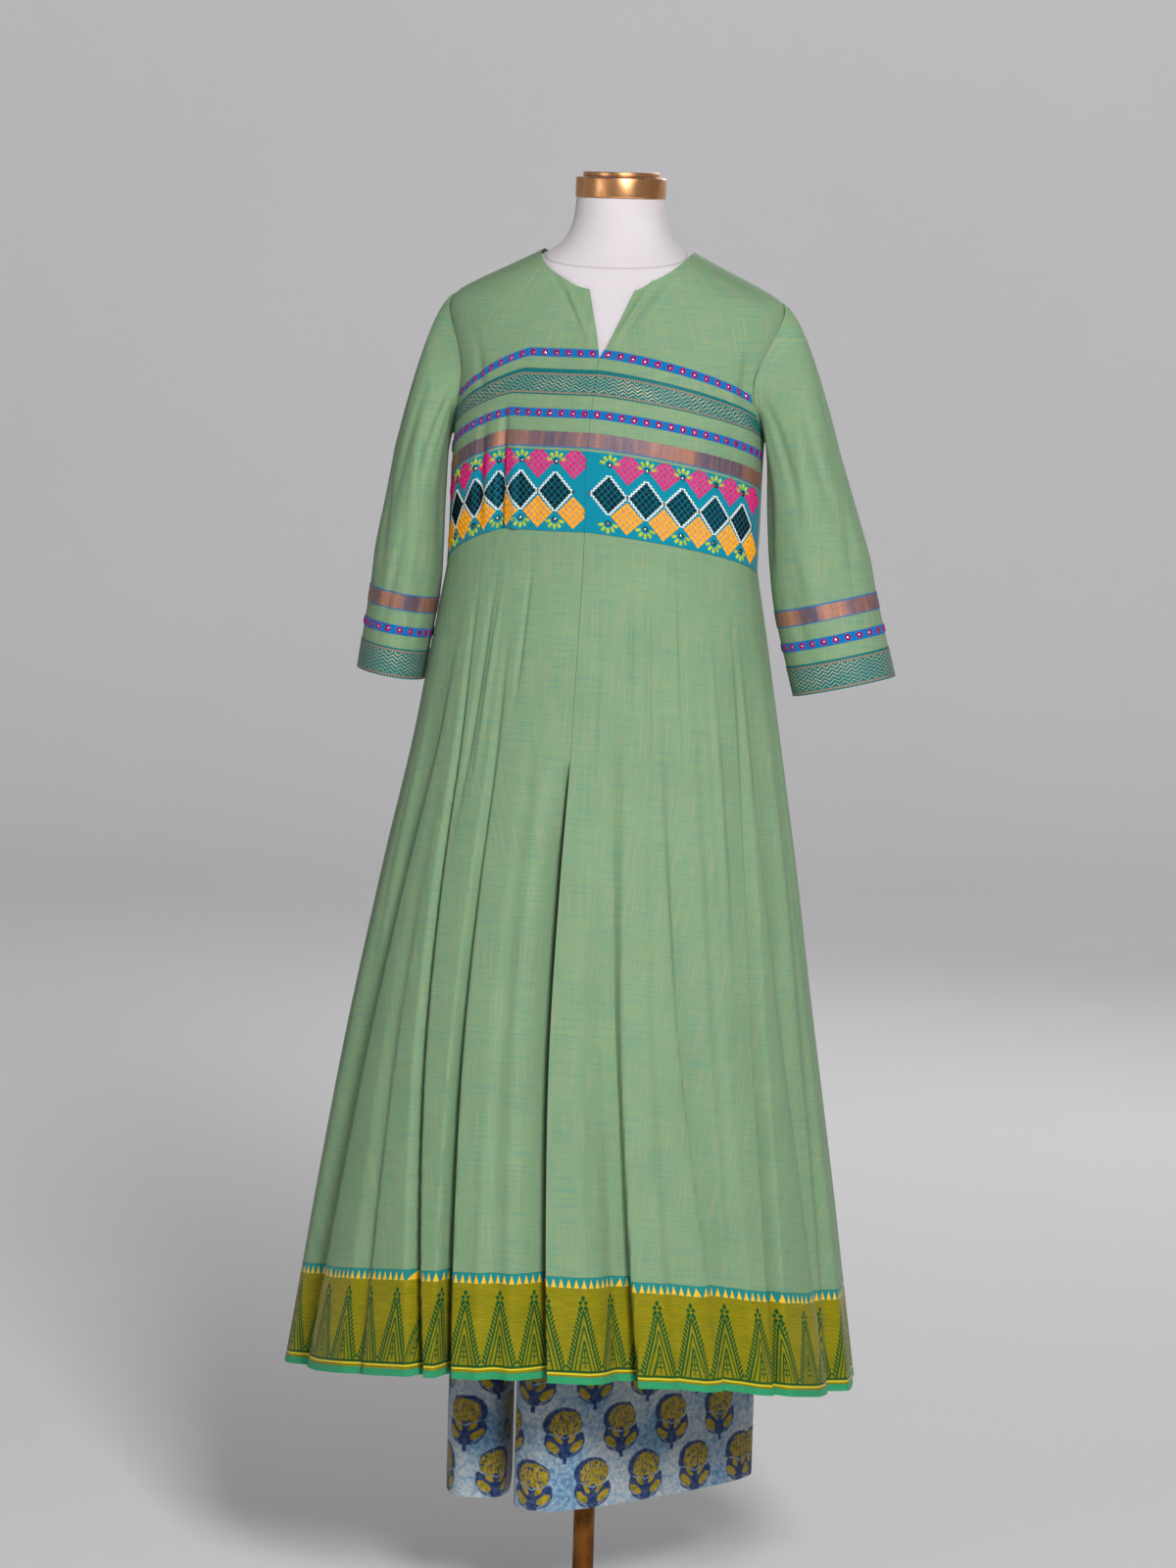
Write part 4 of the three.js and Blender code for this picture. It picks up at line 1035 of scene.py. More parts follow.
def disc(x, y, at_x, at_y, half_x, half_y, soft=0.15):
    """1 inside an oval, 0 outside."""
    dx = (x - at_x) * (1 / half_x)
    dy = (y - at_y) * (1 / half_y)
    return (dx * dx + dy * dy).below(1.0, soft)


def band_between(value, low, high, soft=0.2):
    return (value - (low + high) / 2).abs().below((high - low) / 2, soft)


def tree_print(u, v):
    """One tall tree shape in each repeat: strokes, leaves up both sides, and a finial."""
    x = u.wrap(TREE["pitch"]).abs()
    y = TREE["foot"] - v
    edge = TREE["half"] - y * (TREE["half"] / TREE["apex"])
    out = x - edge
    outer = out.abs().below(1.15, 0.3) * band_between(y, 0, TREE["apex"])
    second = (out + 4.0).abs().below(0.8, 0.3) * band_between(y, 0, TREE["apex"] - 17)
    inner = (x - (6.2 - y * (6.2 / 34))).abs().below(0.85, 0.3) * band_between(y, 0, 33)
    stem = x.below(0.6, 0.25) * band_between(y, 3, 22)
    sprig = [
        disc(x, y, 1.9, 9.0, 1.5, 0.9),
        disc(x, y, 1.8, 14.5, 1.3, 0.9),
        disc(x, y, 0.0, 22.5, 1.1, 2.0),
    ]
    lean = (y - out * 1.1).wrap(4.7)
    leaf = disc(out, lean, 3.7, 0.0, 2.3, 1.75) * band_between(y, 2, TREE["top"] - 8)
    finial = disc(x, y, 0, TREE["top"], 2.1, 3.0).max(disc(x, y, 2.9, TREE["top"] - 5, 2.2, 2.2))
    low_finial = disc(x, y, 2.3, TREE["top"] - 10.5, 2.1, 2.3)
    gap_x = x - TREE["pitch"] / 2
    gap_y = y - 0.5
    from_gap = (gap_x * gap_x + gap_y * gap_y).sqrt()
    scallop = (from_gap - 3.4).abs().below(0.6, 0.25) * band_between(y, 0, 8)
    foot = band_between(y, -2.2, 0.2)
    shapes = outer
    for part in (second, inner, stem, *sprig, leaf, finial, low_finial, scallop, foot):
        shapes = shapes.max(part)
    return shapes


def printed_border():
    paint = Paint("printed_border", roughness=0.62, sheen=0.1)
    u, v = paint.cloth()
    patchy = paint.noise(u * 0.02, v * 0.03, detail=3.0)
    slub = paint.noise(u * 0.05, v * 0.8, 4.0, detail=3.0).above(0.42, 0.66)
    rubbed = paint.noise(u * 0.5, v * 0.5, 9.0, detail=3.0).above(0.2, 0.42) * 0.25 + 0.75
    ground = paint.mix(patchy, srgb(98, 102, 4), srgb(142, 132, 8))
    ground = paint.mix(slub * 0.35, ground, srgb(170, 146, 14))
    ground = paint.mix(tree_print(u, v) * rubbed, ground, srgb(12, 76, 30))
    foot_line = band_between(v, TREE["foot"] + 3.0, TREE["foot"] + 4.6)
    ground = paint.mix(foot_line, ground, srgb(214, 190, 50))
    spike_half = (v - SPIKE["tip"]) * (SPIKE["half"] / (SPIKE["foot"] - SPIKE["tip"]))
    spike = (u.wrap(SPIKE["pitch"]).abs() - spike_half).below(0.0, 0.3)
    spike = spike * band_between(v, SPIKE["tip"], SPIKE["foot"])
    strip = paint.mix(spike * rubbed, srgb(28, 128, 124), srgb(232, 182, 38))
    paint.base(paint.mix(v.below(SPIKE["foot"], 0.3), ground, strip))
    wrinkle = paint.noise(u * 0.05, v * 0.16, 2.0, detail=3.0)
    paint.bump(wrinkle * 3.0 + slub * 0.2 + weave(u, v) * 0.15, 0.35, 0.7)
    return paint.material


# The pants' block print: one upright flower in each repeat, and every other row set half across
FLOWER = {"pitch": 76.0, "row": 60.0, "first": (14.0, 26.0)}


def slanted(x, y, at_x, at_y, angle):
    """The offset from a point, along and across a line at that angle."""
    dx = x - at_x
    dy = y - at_y
    along = dx * math.cos(math.radians(angle)) + dy * math.sin(math.radians(angle))
    across = dy * math.cos(math.radians(angle)) - dx * math.sin(math.radians(angle))
    return along, across


def flower_print(x, y, dots):
    """Masks of a flower's blue and yellow parts, from offsets about its middle."""
    side = x.abs()
    head_blue = disc(x, y, 2.5, 14, 23.5, 18.5, 0.1)
    head = disc(x, y, -1.0, 13, 19.5, 15.5, 0.16) * (y - side * 0.28).above(-4.0, -1.0)
    cup = disc(x, y, 0, -6, 25, 20, 0.1) * (y - side * 0.36).below(-3.5, 1.2)
    low_leaf = disc(*slanted(side, y, 14.5, -12.5, 38), 0, 0, 9.5, 4.4, 0.2)
    high_leaf = disc(*slanted(side, y, 8.5, -3.5, 46), 0, 0, 7.0, 3.0, 0.2)
    vein_low = slanted(side, y, 14.5, -18.5, 34)[1].abs().below(1.0, 0.3)
    stem = side.below(2.6, 0.5) * band_between(y, -33, 2, 0.6)
    gap = (y - side * 0.32 + 2.6).abs().below(0.8, 0.5) * side.below(19, 2.0) * 0.8
    blue = head_blue.max(cup).max(stem)
    blue = blue * (1.0 - gap * 0.9)
    leaf_gap = vein_low * cup * side.above(5.0, 8.0) * 0.5
    yellow = (head * (1.0 - dots * 0.8)).max(low_leaf).max(high_leaf) * (1.0 - gap)
    return (blue - leaf_gap).clamp(), yellow * (1.0 - stem)


def printed_cotton():
    """Hand block print in indigo and mustard on mottled, resist-dyed cotton."""
    paint = Paint("printed_cotton", roughness=0.82, sheen=0.15)
    u, v = paint.cloth()
    wobble = (paint.noise(u * 0.08, v * 0.08, 5.0, detail=2.0) - 0.5) * 5.0
    bent_u = u + wobble
    bent_v = v - wobble
    dots = paint.noise(u * 0.33, v * 0.2, 8.0, detail=1.0).above(0.52, 0.6)
    rows = []
    for row in range(2):
        x = (bent_u - (FLOWER["first"][0] + row * FLOWER["pitch"] / 2)).wrap(FLOWER["pitch"])
        y = (bent_v - (FLOWER["first"][1] + row * FLOWER["row"])).wrap(2 * FLOWER["row"])
        rows.append(flower_print(x, y, dots))
    blue = rows[0][0].max(rows[1][0])
    yellow = rows[0][1].max(rows[1][1])
    vat = paint.noise(u * 0.012, v * 0.010, 2.0, detail=3.0).above(0.36, 0.64)
    mottle = paint.noise(u * 0.16, v * 0.16, 6.0, detail=5.0, roughness=0.65).above(0.36, 0.66)
    crackle = paint.noise(u * 0.12, v * 0.07, 11.0, detail=5.0, roughness=0.7)
    crackle = (crackle - 0.5).abs().below(0.012, 0.010)
    pale = paint.mix(mottle, srgb(190, 190, 184), srgb(132, 158, 176))
    deep = paint.mix(mottle, srgb(134, 166, 186), srgb(64, 108, 150))
    ground = paint.mix(vat, pale, deep)
    ground = paint.mix(crackle * 0.5, ground, srgb(60, 104, 150))
    rubbed = mottle * 0.12 + 0.88
    inked = paint.mix(blue * rubbed, ground, srgb(20, 44, 92))
    mustard = paint.mix(mottle, srgb(182, 150, 26), srgb(112, 112, 34))
    paint.base(paint.mix(yellow * rubbed, inked, mustard))
    crumple = paint.noise(u * 0.035, v * 0.02, 3.0, detail=3.0)
    paint.bump(crumple * 4.0 + weave(u, v) * 0.3, 0.35, 0.6)
    return paint.material


# The cover's seam round the neck: its height in mm, and how much it rises for each mm to the back
NECK_SEAM = {"height": 1561.0, "slope": 0.35}


def form_cover():
    """Fine jersey stretched over the form, seamed round the foot of the neck and down the back."""
    paint = Paint("form_cover", roughness=0.85, sheen=0.2)
    x, y, z = paint.place()
    knit = (x * 2.6).sin() * (z * 2.1).sin() * 0.5 + 0.5
    shade = paint.noise(x * 0.03, y * 0.03, z * 0.03, detail=3.0)
    down_back = x.abs().below(0.6, 0.3) * y.above(-1.0, 1.0)
    round_neck = (z - y * NECK_SEAM["slope"] - NECK_SEAM["height"]).abs().below(0.7, 0.35)
    seam = down_back.max(round_neck)
    cover = paint.mix(shade, srgb(197, 190, 194), srgb(209, 203, 207))
    paint.base(paint.mix(seam * 0.4, cover, srgb(140, 130, 136)))
    paint.bump(knit * 0.3 - seam, 0.3, 0.7)
    return paint.material


def brushed_metal(name, colour, other, roughness, metallic):
    """Spun metal: fine rings round it, with small patches of wear."""
    paint = Paint(name, metallic=metallic)
    x, y, z = paint.place()
    rings = paint.noise(z * 2.5, 3.0, detail=3.0)
    wear_and_glint = paint.noise(x * 0.06, y * 0.06, z * 0.03, detail=4.0).above(0.4, 0.7)
    paint.base(paint.mix(wear_and_glint, colour, other))
    paint.drive("Roughness", wear_and_glint * 0.16 + rings * 0.1 + (roughness - 0.1))
    paint.bump(rings, 0.04, 0.5)
    return paint.material


def thread(name, colour, other):
    """Soft cotton thread: fine twist, and a shade that changes from stitch to stitch."""
    paint = Paint(name, roughness=0.7)
    x, y, z = paint.place()
    shade = paint.noise(x * 0.35, y * 0.35, z * 0.35, detail=2.0).above(0.35, 0.65)
    twist = paint.noise(x * 3.0, y * 3.0, z * 3.0, detail=2.0)
    paint.base(paint.mix(shade * 0.7 + twist * 0.3, colour, other))
    paint.bump(twist, 0.12, 0.6)
    return paint.material


def mirror_glass():
    """Small hand-cut mirror, each one a little tarnished."""
    paint = Paint("mirror_glass", metallic=1.0)
    x, y, z = paint.place()
    tarnish = paint.noise(x * 0.12, y * 0.12, z * 0.12, detail=2.0).above(0.36, 0.66)
    paint.base(paint.mix(tarnish, srgb(226, 230, 236), srgb(112, 112, 124)))
    paint.drive("Roughness", tarnish * 0.2 + 0.1)
    return paint.material


MATERIALS = {
    "green_silk": green_silk(),
    "teal_band": plain_cloth("teal_band", srgb(0, 118, 142), srgb(8, 138, 160)),
    "copper_zari": copper_zari(),
    "blue_ribbon": plain_cloth("blue_ribbon", srgb(0, 92, 158), srgb(4, 118, 184)),
    "green_zari": green_zari("green_zari", 28.0, 185.0),
    "cuff_zari": green_zari("cuff_zari", 33.0, None),
    "printed_border": printed_border(),
    "hem_binding": plain_cloth("hem_binding", srgb(34, 132, 88), srgb(58, 156, 106)),
    "printed_cotton": printed_cotton(),
    "form_cover": form_cover(),
    "neck_brass": brushed_metal("neck_brass", srgb(228, 170, 118), srgb(196, 138, 88), 0.3, 1.0),
    "stand_metal": brushed_metal("stand_metal", srgb(132, 84, 36), srgb(84, 50, 20), 0.42, 0.5),
    "black_thread": thread("black_thread", srgb(4, 9, 15), srgb(15, 24, 31)),
    "magenta_thread": thread("magenta_thread", srgb(196, 26, 104), srgb(224, 50, 128)),
    "orange_thread": thread("orange_thread", srgb(240, 150, 8), srgb(255, 182, 30)),
    "white_thread": thread("white_thread", srgb(226, 218, 206), srgb(246, 240, 232)),
    "lime_thread": thread("lime_thread", srgb(158, 178, 30), srgb(204, 216, 70)),
    "purple_thread": thread("purple_thread", srgb(128, 14, 88), srgb(166, 26, 112)),
    "mirror_glass": mirror_glass(),
}


def finish_piece(obj, slot, *nodes):
    """The piece rides on the body and stands for its nodes, which are hidden. The slot is not used."""
    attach(obj, "root")
    if nodes:
        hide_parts(*nodes)


def declare_sheet(obj, surface, held, rests_on=(), sewn_on=()):
    """Works out the width, length and area of the cloth laid flat, and keeps none of them. The piece, how
    it is held, what it rests on and what is sewn on it are not used.
    """
    width, length, area = surface.flat_size()


# Dress form

def build_torso():
    heights = np.concatenate([
        np.linspace(862, 905, 14),
        np.linspace(908, 1500, 90),
        np.linspace(1503, 1616.6, 50),
    ])
    columns = np.linspace(-180, 180, 97)[:-1]
    z, turn = np.meshgrid(heights, columns, indexing="ij")
    grid = ring_point(form_section(z), turn, z)
    rows, count = grid.shape[:2]
    points = np.concatenate([grid.reshape(-1, 3), [[0, 0, heights[0]]], [[0, 0, heights[-1]]]])
    r, k = np.meshgrid(np.arange(rows - 1), np.arange(count), indexing="ij")
    low = r.ravel() * count
    high = low + count
    k = k.ravel()
    following = (k + 1) % count
    quads = np.stack([low + k, low + following, high + following, high + k], -1)
    j = np.arange(count)
    beside = (j + 1) % count
    last = (rows - 1) * count
    foot = np.stack([np.full(count, rows * count), beside, j], -1)
    top = np.stack([np.full(count, rows * count + 1), last + j, last + beside], -1)
    faces = [quads, foot, top]
    torso = add_mesh("form_cover", points, faces, material=MATERIALS["form_cover"])
    finish_piece(torso, "form_cover", "form_torso")


def build_cylinder(name, part, rounding, columns, slot, node):
    low, high, radius = part["low"], part["high"], part["radius"]
    profile = [(0, low), (radius, low), (radius, high), (0, high)]
    made = turned_solid(name, rounded(profile, rounding), columns, MATERIALS[slot])
    finish_piece(made, slot, node)


def build_form():
    build_torso()
    build_cylinder("neck_ring", NECK_RING, 2.0, 96, "neck_brass", "form_neck_ring")
    build_cylinder("neck_lid", NECK_LID, 1.5, 96, "neck_brass", "form_neck_lid")
    build_cylinder("pole", POLE, 1.0, 48, "stand_metal", "stand_pole")
    profile = [
        (0, 0), (BASE["radius"], 0), (BASE["radius"], BASE["edge"]), (BASE["hub"] * 2, BASE["edge"] + 6),
        (BASE["hub"], BASE["high"]), (0, BASE["high"]),
    ]
    made = turned_solid("base", rounded(profile, 4.0), 128, MATERIALS["stand_metal"])
    finish_piece(made, "stand_metal", "stand_base")


# Bodice

RIBBON_HEIGHT = 12.0
BODICE_RADIUS = 145.0
SLEEVE_RADIUS = 58.0
BANDS = (
    {"name": "embroidered_band", "low": 1252.4, "high": 1341.0, "slot": "teal_band"},
    {"name": "copper_band", "low": 1344.0, "high": 1361.0, "slot": "copper_zari"},
    {"name": "mirror_ribbon_low", "low": 1376.0, "high": 1385.0, "slot": "blue_ribbon"},
    {"name": "zigzag_band", "low": 1400.0, "high": 1428.0, "slot": "green_zari"},
    {"name": "mirror_ribbon_high", "low": 1441.0, "high": 1450.0, "slot": "blue_ribbon"},
)


def band_rows(band, base=0.0):
    """Heights up a strip, about 4 mm apart."""
    count = int((band["high"] - band["low"]) / 4) + 4
    return np.linspace(base + band["low"], base + band["high"], count)


def sew_strip(band, strip, name, material, panel, ribbons):
    """Builds one strip, and works out the flat size of one that is wide enough. One that is too narrow is
    put on its panel's list of ribbons instead.
    """
    piece = strip.wall(f"{name}_cloth", BAND_CLOTH, material, BAND_LIFT)
    finish_piece(piece, band["slot"], name)
    if band["high"] - band["low"] < RIBBON_HEIGHT:
        ribbons.append(piece)
    else:
        declare_sheet(piece, strip, "stretched", [panel.name])


def build_bodice():
    bands = {}
    for side, hand in HAND.items():
        levels = np.concatenate([
            np.linspace(WAIST_SEAM_CENTRE, NOTCH_BOTTOM, 76)[:-1],
            np.linspace(NOTCH_BOTTOM, NOTCH_TOP, 20)[:-1],
            np.linspace(NOTCH_TOP, NECK_LEVELS[-1], 26),
        ])
        band_shares = np.linspace(0, BAND_END, 120)
        shares = np.concatenate([band_shares, np.linspace(BAND_END, 1, 6)[1:]])
        grid = trimmed(front_grid(side, levels, shares), SEAM_GAP / 2, SEAM_GAP / 2)
        surface = Surface(grid, centre=0)
        surface.upright_grain(BODICE_RADIUS)
        panel = surface.wall(f"bodice_front_{hand}_cloth", CLOTH, MATERIALS["green_silk"])
        finish_piece(panel, "green_silk", f"bodice_front_{hand}")
        ribbons = []
        for band in BANDS:
            grid = trimmed(front_grid(side, band_rows(band), band_shares), SEAM_GAP / 2, 0)
            strip = Surface(grid, centre=0, straight=True)
            name = f"{band['name']}_{hand}"
            sew_strip(band, strip, name, MATERIALS[band["slot"]], panel, ribbons)
            bands[band["name"], side] = strip
        declare_sheet(panel, surface, "hung", ["form_cover"], ribbons)
    heights = np.linspace(WAIST_SEAM_SIDE, SHOULDER_TIP, 66)
    grid = back_grid(heights, np.linspace(-1, 1, 97))
    surface = Surface(trimmed(grid, SEAM_GAP / 2, SEAM_GAP / 2))
    surface.upright_grain(-BODICE_RADIUS)
    back = surface.wall("bodice_back_cloth", CLOTH, MATERIALS["green_silk"])
    finish_piece(back, "green_silk", "bodice_back")
    declare_sheet(back, surface, "hung", ["form_cover"])
    return bands


# Sleeves

SLEEVE_BANDS = (
    {"name": "border", "low": 0.0, "high": 33.0, "slot": "green_zari"},
    {"name": "ribbon", "low": 48.0, "high": 58.0, "slot": "blue_ribbon"},
    {"name": "copper", "low": 75.0, "high": 94.0, "slot": "copper_zari"},
)
SLEEVE_AROUND = np.linspace(0, 360, 97)[:-1]


def build_sleeves():
    bands = {}
    for side, hand in HAND.items():
        hem = SLEEVES[side]["z"][0]
        top = SLEEVES[side]["z"][-1]
        heights = np.linspace(hem, top, 44)[:-1]
        grid = sleeve_grid(side, heights, np.linspace(0, 1, 24), SLEEVE_AROUND)
        surface = Surface(grid, closed=True)
        surface.upright_grain(SLEEVE_RADIUS)
        sleeve = surface.wall(f"sleeve_{hand}_cloth", CLOTH, MATERIALS["green_silk"])
        finish_piece(sleeve, "green_silk", f"sleeve_{hand}")
        ribbons = []
        for band in SLEEVE_BANDS:
            grid = sleeve_grid(side, band_rows(band, hem), [], SLEEVE_AROUND)
            strip = Surface(grid, closed=True)
            material = MATERIALS["cuff_zari" if band["name"] == "border" else band["slot"]]
            sew_strip(band, strip, f"sleeve_{band['name']}_{hand}", material, sleeve, ribbons)
            bands[band["name"], side] = strip
        declare_sheet(sleeve, surface, "hung", [f"bodice_front_{hand}_cloth"], ribbons)
    return bands


# Embroidery, mirrors and beads, laid out flat in mm: round from the centre seam, and up the strip

STRIP_FACE = BAND_LIFT + BAND_CLOTH / 2
SUNK = -0.15
DIAMONDS = {
    "black": {"half": (18.4, 20.2), "v": 44.0, "thread": "black_thread"},
    "magenta": {"half": (18.4, 18.4), "v": 76.0, "thread": "magenta_thread"},
    "orange": {"half": (18.2, 18.4), "v": 21.0, "thread": "orange_thread"},
}
DIAMOND_PITCH = 41.5
FIRST_DIAMOND = {1: {"black": 25.6, "bright": 46.4}, -1: {"black": 34.0, "bright": 13.0}}
DIAMOND_COUNT = {1: {"black": 5, "bright": 5}, -1: {"black": 5, "bright": 6}}
CELLS = 5
CELL_STITCHES = 4
STITCH_SPREAD = 0.92
STITCH_WIDTH = 1.3
OUTLINE = {"half": (20.2, 22.4), "swing": 1.35, "pitch": 4.3, "width": 1.45}
SPRAY = {"radius": 8.2, "fan": 150.0, "petals": 5, "length": 6.6, "width": 3.4}
SPRAY_V = {1: 77.0, -1: 13.0}
RING_SLANT = 0.22
RING_HIGH = 0.7
RING = {"pitch": 13.5, "inner": 1.4, "outer": 3.9, "stitches": 14, "width": 1.7, "mirror": 1.9}
BAND_MIRROR = {"radius": 2.1, "high": 0.45, "inner": 1.7, "outer": 3.2, "stitches": 12, "width": 1.1}
BAND_BEAD = {"radius": 1.3, "high": 0.5, "inner": 1.0, "outer": 2.0, "stitches": 9, "width": 0.9}


class Relief:
    """Small raised shapes on a strip: points as round, up and off the cloth, in mm."""

    def __init__(self):
        self.points = []
        self.quads = []
        self.triangles = []
        self.count = 0

    def add(self, flat, heights, quads, triangles):
        """Copies of one shape: flat is copies by corners by 2, heights is corners."""
        copies, corners = flat.shape[:2]
        height = np.broadcast_to(heights, (copies, corners))[..., None]
        self.points.append(np.concatenate([flat, height], axis=-1).reshape(-1, 3))
        start = self.count + corners * np.arange(copies)[:, None, None]
        if quads:
            self.quads.append((np.array(quads)[None] + start).reshape(-1, 4))
        if triangles:
            self.triangles.append((np.array(triangles)[None] + start).reshape(-1, 3))
        self.count += copies * corners

    def threads(self, starts, ends, width, high=0.55):
        """Stitches, each a low rounded ridge."""
        starts = np.asarray(starts, float)
        ends = np.asarray(ends, float)
        along = unit(ends - starts)
        across = np.stack([-along[:, 1], along[:, 0]], axis=-1) * (width / 2)
        inset = along * (width * 0.35)
        flat = np.stack([
            starts - across, ends - across, ends + across, starts + across,
            starts + inset - across * 0.4, ends - inset - across * 0.4,
            ends - inset + across * 0.4, starts + inset + across * 0.4,
        ], axis=1)
        heights = [SUNK] * 4 + [high] * 4
        quads = [(0, 1, 5, 4), (1, 2, 6, 5), (2, 3, 7, 6), (3, 0, 4, 7), (4, 5, 6, 7), (3, 2, 1, 0)]
        self.add(flat, heights, quads, [])

    def discs(self, centres, radius, high, columns=14):
        """Small flat rounds with a soft edge."""
        angle = np.linspace(0, 2 * np.pi, columns, endpoint=False)
        ring = np.stack([np.cos(angle), np.sin(angle)], axis=-1)
        shape = np.concatenate([ring * radius, ring * radius * 0.86, [[0, 0]], [[0, 0]]])
        flat = np.asarray(centres, float)[:, None] + shape[None]
        heights = [SUNK] * columns + [high] * columns + [high * 1.15, SUNK]
        pairs = [(k, (k + 1) % columns) for k in range(columns)]
        quads = [(k, after, columns + after, columns + k) for k, after in pairs]
        top = [(columns + k, columns + after, 2 * columns) for k, after in pairs]
        foot = [(after, k, 2 * columns + 1) for k, after in pairs]
        self.add(flat, heights, quads, top + foot)

    def stitch_rings(self, centres, ring):
        """Rings of slanted stitches that hold a mirror or a bead."""
        angle = np.linspace(0, 2 * np.pi, ring["stitches"], endpoint=False)
        start = np.stack([np.cos(angle), np.sin(angle)], axis=-1) * ring["inner"]
        angle = angle + RING_SLANT
        end = np.stack([np.cos(angle), np.sin(angle)], axis=-1) * ring["outer"]
        centres = np.asarray(centres, float)[:, None]
        starts = (centres + start).reshape(-1, 2)
        self.threads(starts, (centres + end).reshape(-1, 2), ring["width"], RING_HIGH)

    def place(self, strip, name, material, slot):
        """Sets the shapes on a strip, as one piece."""
        flat = np.concatenate(self.points)
        points = strip.at(flat[:, 0], flat[:, 1], flat[:, 2] + STRIP_FACE)
        # Turns the faces round where the strip's own directions run the other way
        corner = strip.at(np.array([40.0, 41.0, 40.0]), np.array([4.0, 4.0, 5.0]))
        off = strip.at(np.array(40.0), np.array(4.0), np.array(1.0)) - corner[0]
        turned = np.cross(corner[1] - corner[0], corner[2] - corner[0]) @ off < 0
        faces = [np.concatenate(part) for part in (self.quads, self.triangles) if part]
        if turned:
            faces = [part[:, ::-1] for part in faces]
        piece = add_mesh(name, points, faces, material=MATERIALS[material], sharp=70)
        finish_piece(piece, slot)


def diamond_places(side, kind):
    row = "black" if kind == "black" else "bright"
    first = FIRST_DIAMOND[side][row]
    count = DIAMOND_COUNT[side][row]
    return [(first + DIAMOND_PITCH * k, DIAMONDS[kind]["v"]) for k in range(count)]


def stitch_diamond(relief, centre, half):
    """Five by five cells of short stitches, turned the other way from cell to cell."""
    first = np.array(half) / CELLS
    second = np.array([-half[0], half[1]]) / CELLS
    middle = (CELLS - 1) / 2
    starts = []
    ends = []
    for i in range(CELLS):
        for j in range(CELLS):
            cell = np.array(centre) + (i - middle) * first + (j - middle) * second
            along, across = (first, second) if (i + j) % 2 else (second, first)
            for k in range(CELL_STITCHES):
                offset = across * ((k + 0.5) / CELL_STITCHES - 0.5) * STITCH_SPREAD
                starts.append(cell + offset - along * STITCH_SPREAD / 2)
                ends.append(cell + offset + along * STITCH_SPREAD / 2)
    relief.threads(starts, ends, STITCH_WIDTH)


def zigzag_outline(relief, centre):
    """A zigzag of thread along the four sides of a diamond."""
    half, high = OUTLINE["half"]
    swing = OUTLINE["swing"]
    corners = np.array([(0, high), (half, 0), (0, -high), (-half, 0), (0, high)]) + centre
    for start, end in zip(corners, corners[1:]):
        length = np.hypot(*(end - start))
        count = 2 * round(length / OUTLINE["pitch"])
        along = (end - start) / length
        across = np.array([-along[1], along[0]])
        steps = np.linspace(0.03, 0.97, count + 1)[:, None]
        swings = np.where(np.arange(count + 1) % 2, swing, -swing)[:, None]
        path = start + (end - start) * steps + across * swings
        relief.threads(path[:-1], path[1:], OUTLINE["width"], 0.5)


def spray(relief, centre, up):
    """A fan of petals, each of four satin stitches."""
    for k in range(SPRAY["petals"]):
        angle = math.radians(90 * up + SPRAY["fan"] * (k / (SPRAY["petals"] - 1) - 0.5))
        along = np.array([math.cos(angle), math.sin(angle)])
        across = np.array([-along[1], along[0]])
        middle = np.array(centre) + along * SPRAY["radius"]
        starts = []
        ends = []
        for offset in (-0.36, -0.12, 0.12, 0.36):
            reach = SPRAY["length"] / 2 * math.sqrt(1 - (2 * offset) ** 2 * 0.8)
            line = middle + across * offset * SPRAY["width"]
            starts.append(line - along * reach)
            ends.append(line + along * reach)
        relief.threads(starts, ends, SPRAY["width"] / 3.6, 0.6)


def embroider_band(strip, side):
    hand = HAND[side]
    limit = strip.u[len(strip.u) // 2, -1] - 2.0
    reliefs = {}
    for kind, diamond in DIAMONDS.items():
        relief = Relief()
        for centre in diamond_places(side, kind):
            if centre[0] + diamond["half"][0] < limit:
                stitch_diamond(relief, centre, diamond["half"])
        reliefs[diamond["thread"]] = relief
    outline = Relief()
    petals = Relief()
    mirrors = []
    beads = []
    for centre in diamond_places(side, "black"):
        if centre[0] + OUTLINE["half"][0] > limit:
            continue
        zigzag_outline(outline, centre)
        beads += [(centre[0] + step * DIAMOND_PITCH / 2, centre[1]) for step in (-1, 1)]
        for up, height in SPRAY_V.items():
            spray(petals, (centre[0], height), up)
            mirrors.append((centre[0], height))
    beads = sorted(set(bead for bead in beads if bead[0] < limit))
    glass = Relief()
    for places, kind in ((mirrors, BAND_MIRROR), (beads, BAND_BEAD)):
        reliefs["black_thread"].stitch_rings(places, kind)
        glass.discs(places, kind["radius"], kind["high"])
    reliefs["white_thread"] = outline
    reliefs["lime_thread"] = petals
    for name, relief in reliefs.items():
        relief.place(strip, f"{name}_{hand}", name, "teal_band")
    glass.place(strip, f"band_mirrors_{hand}", "mirror_glass", "teal_band")


def mirror_ribbon(strip, name, start, end):
    """A row of round mirrors down the middle of a ribbon, each held by a ring of thread."""
    count = round((end - start) / RING["pitch"])
    places = start + (np.arange(count) + 0.5) * (end - start) / count
    middle = strip.v[-1, 0] / 2
    centres = np.stack([places, np.full(count, middle)], axis=-1)
    rings = Relief()
    rings.stitch_rings(centres, RING)
    glass = Relief()
    glass.discs(centres, RING["mirror"], 0.4)
    rings.place(strip, f"{name}_rings", "purple_thread", "blue_ribbon")
    glass.place(strip, f"{name}_mirrors", "mirror_glass", "blue_ribbon")


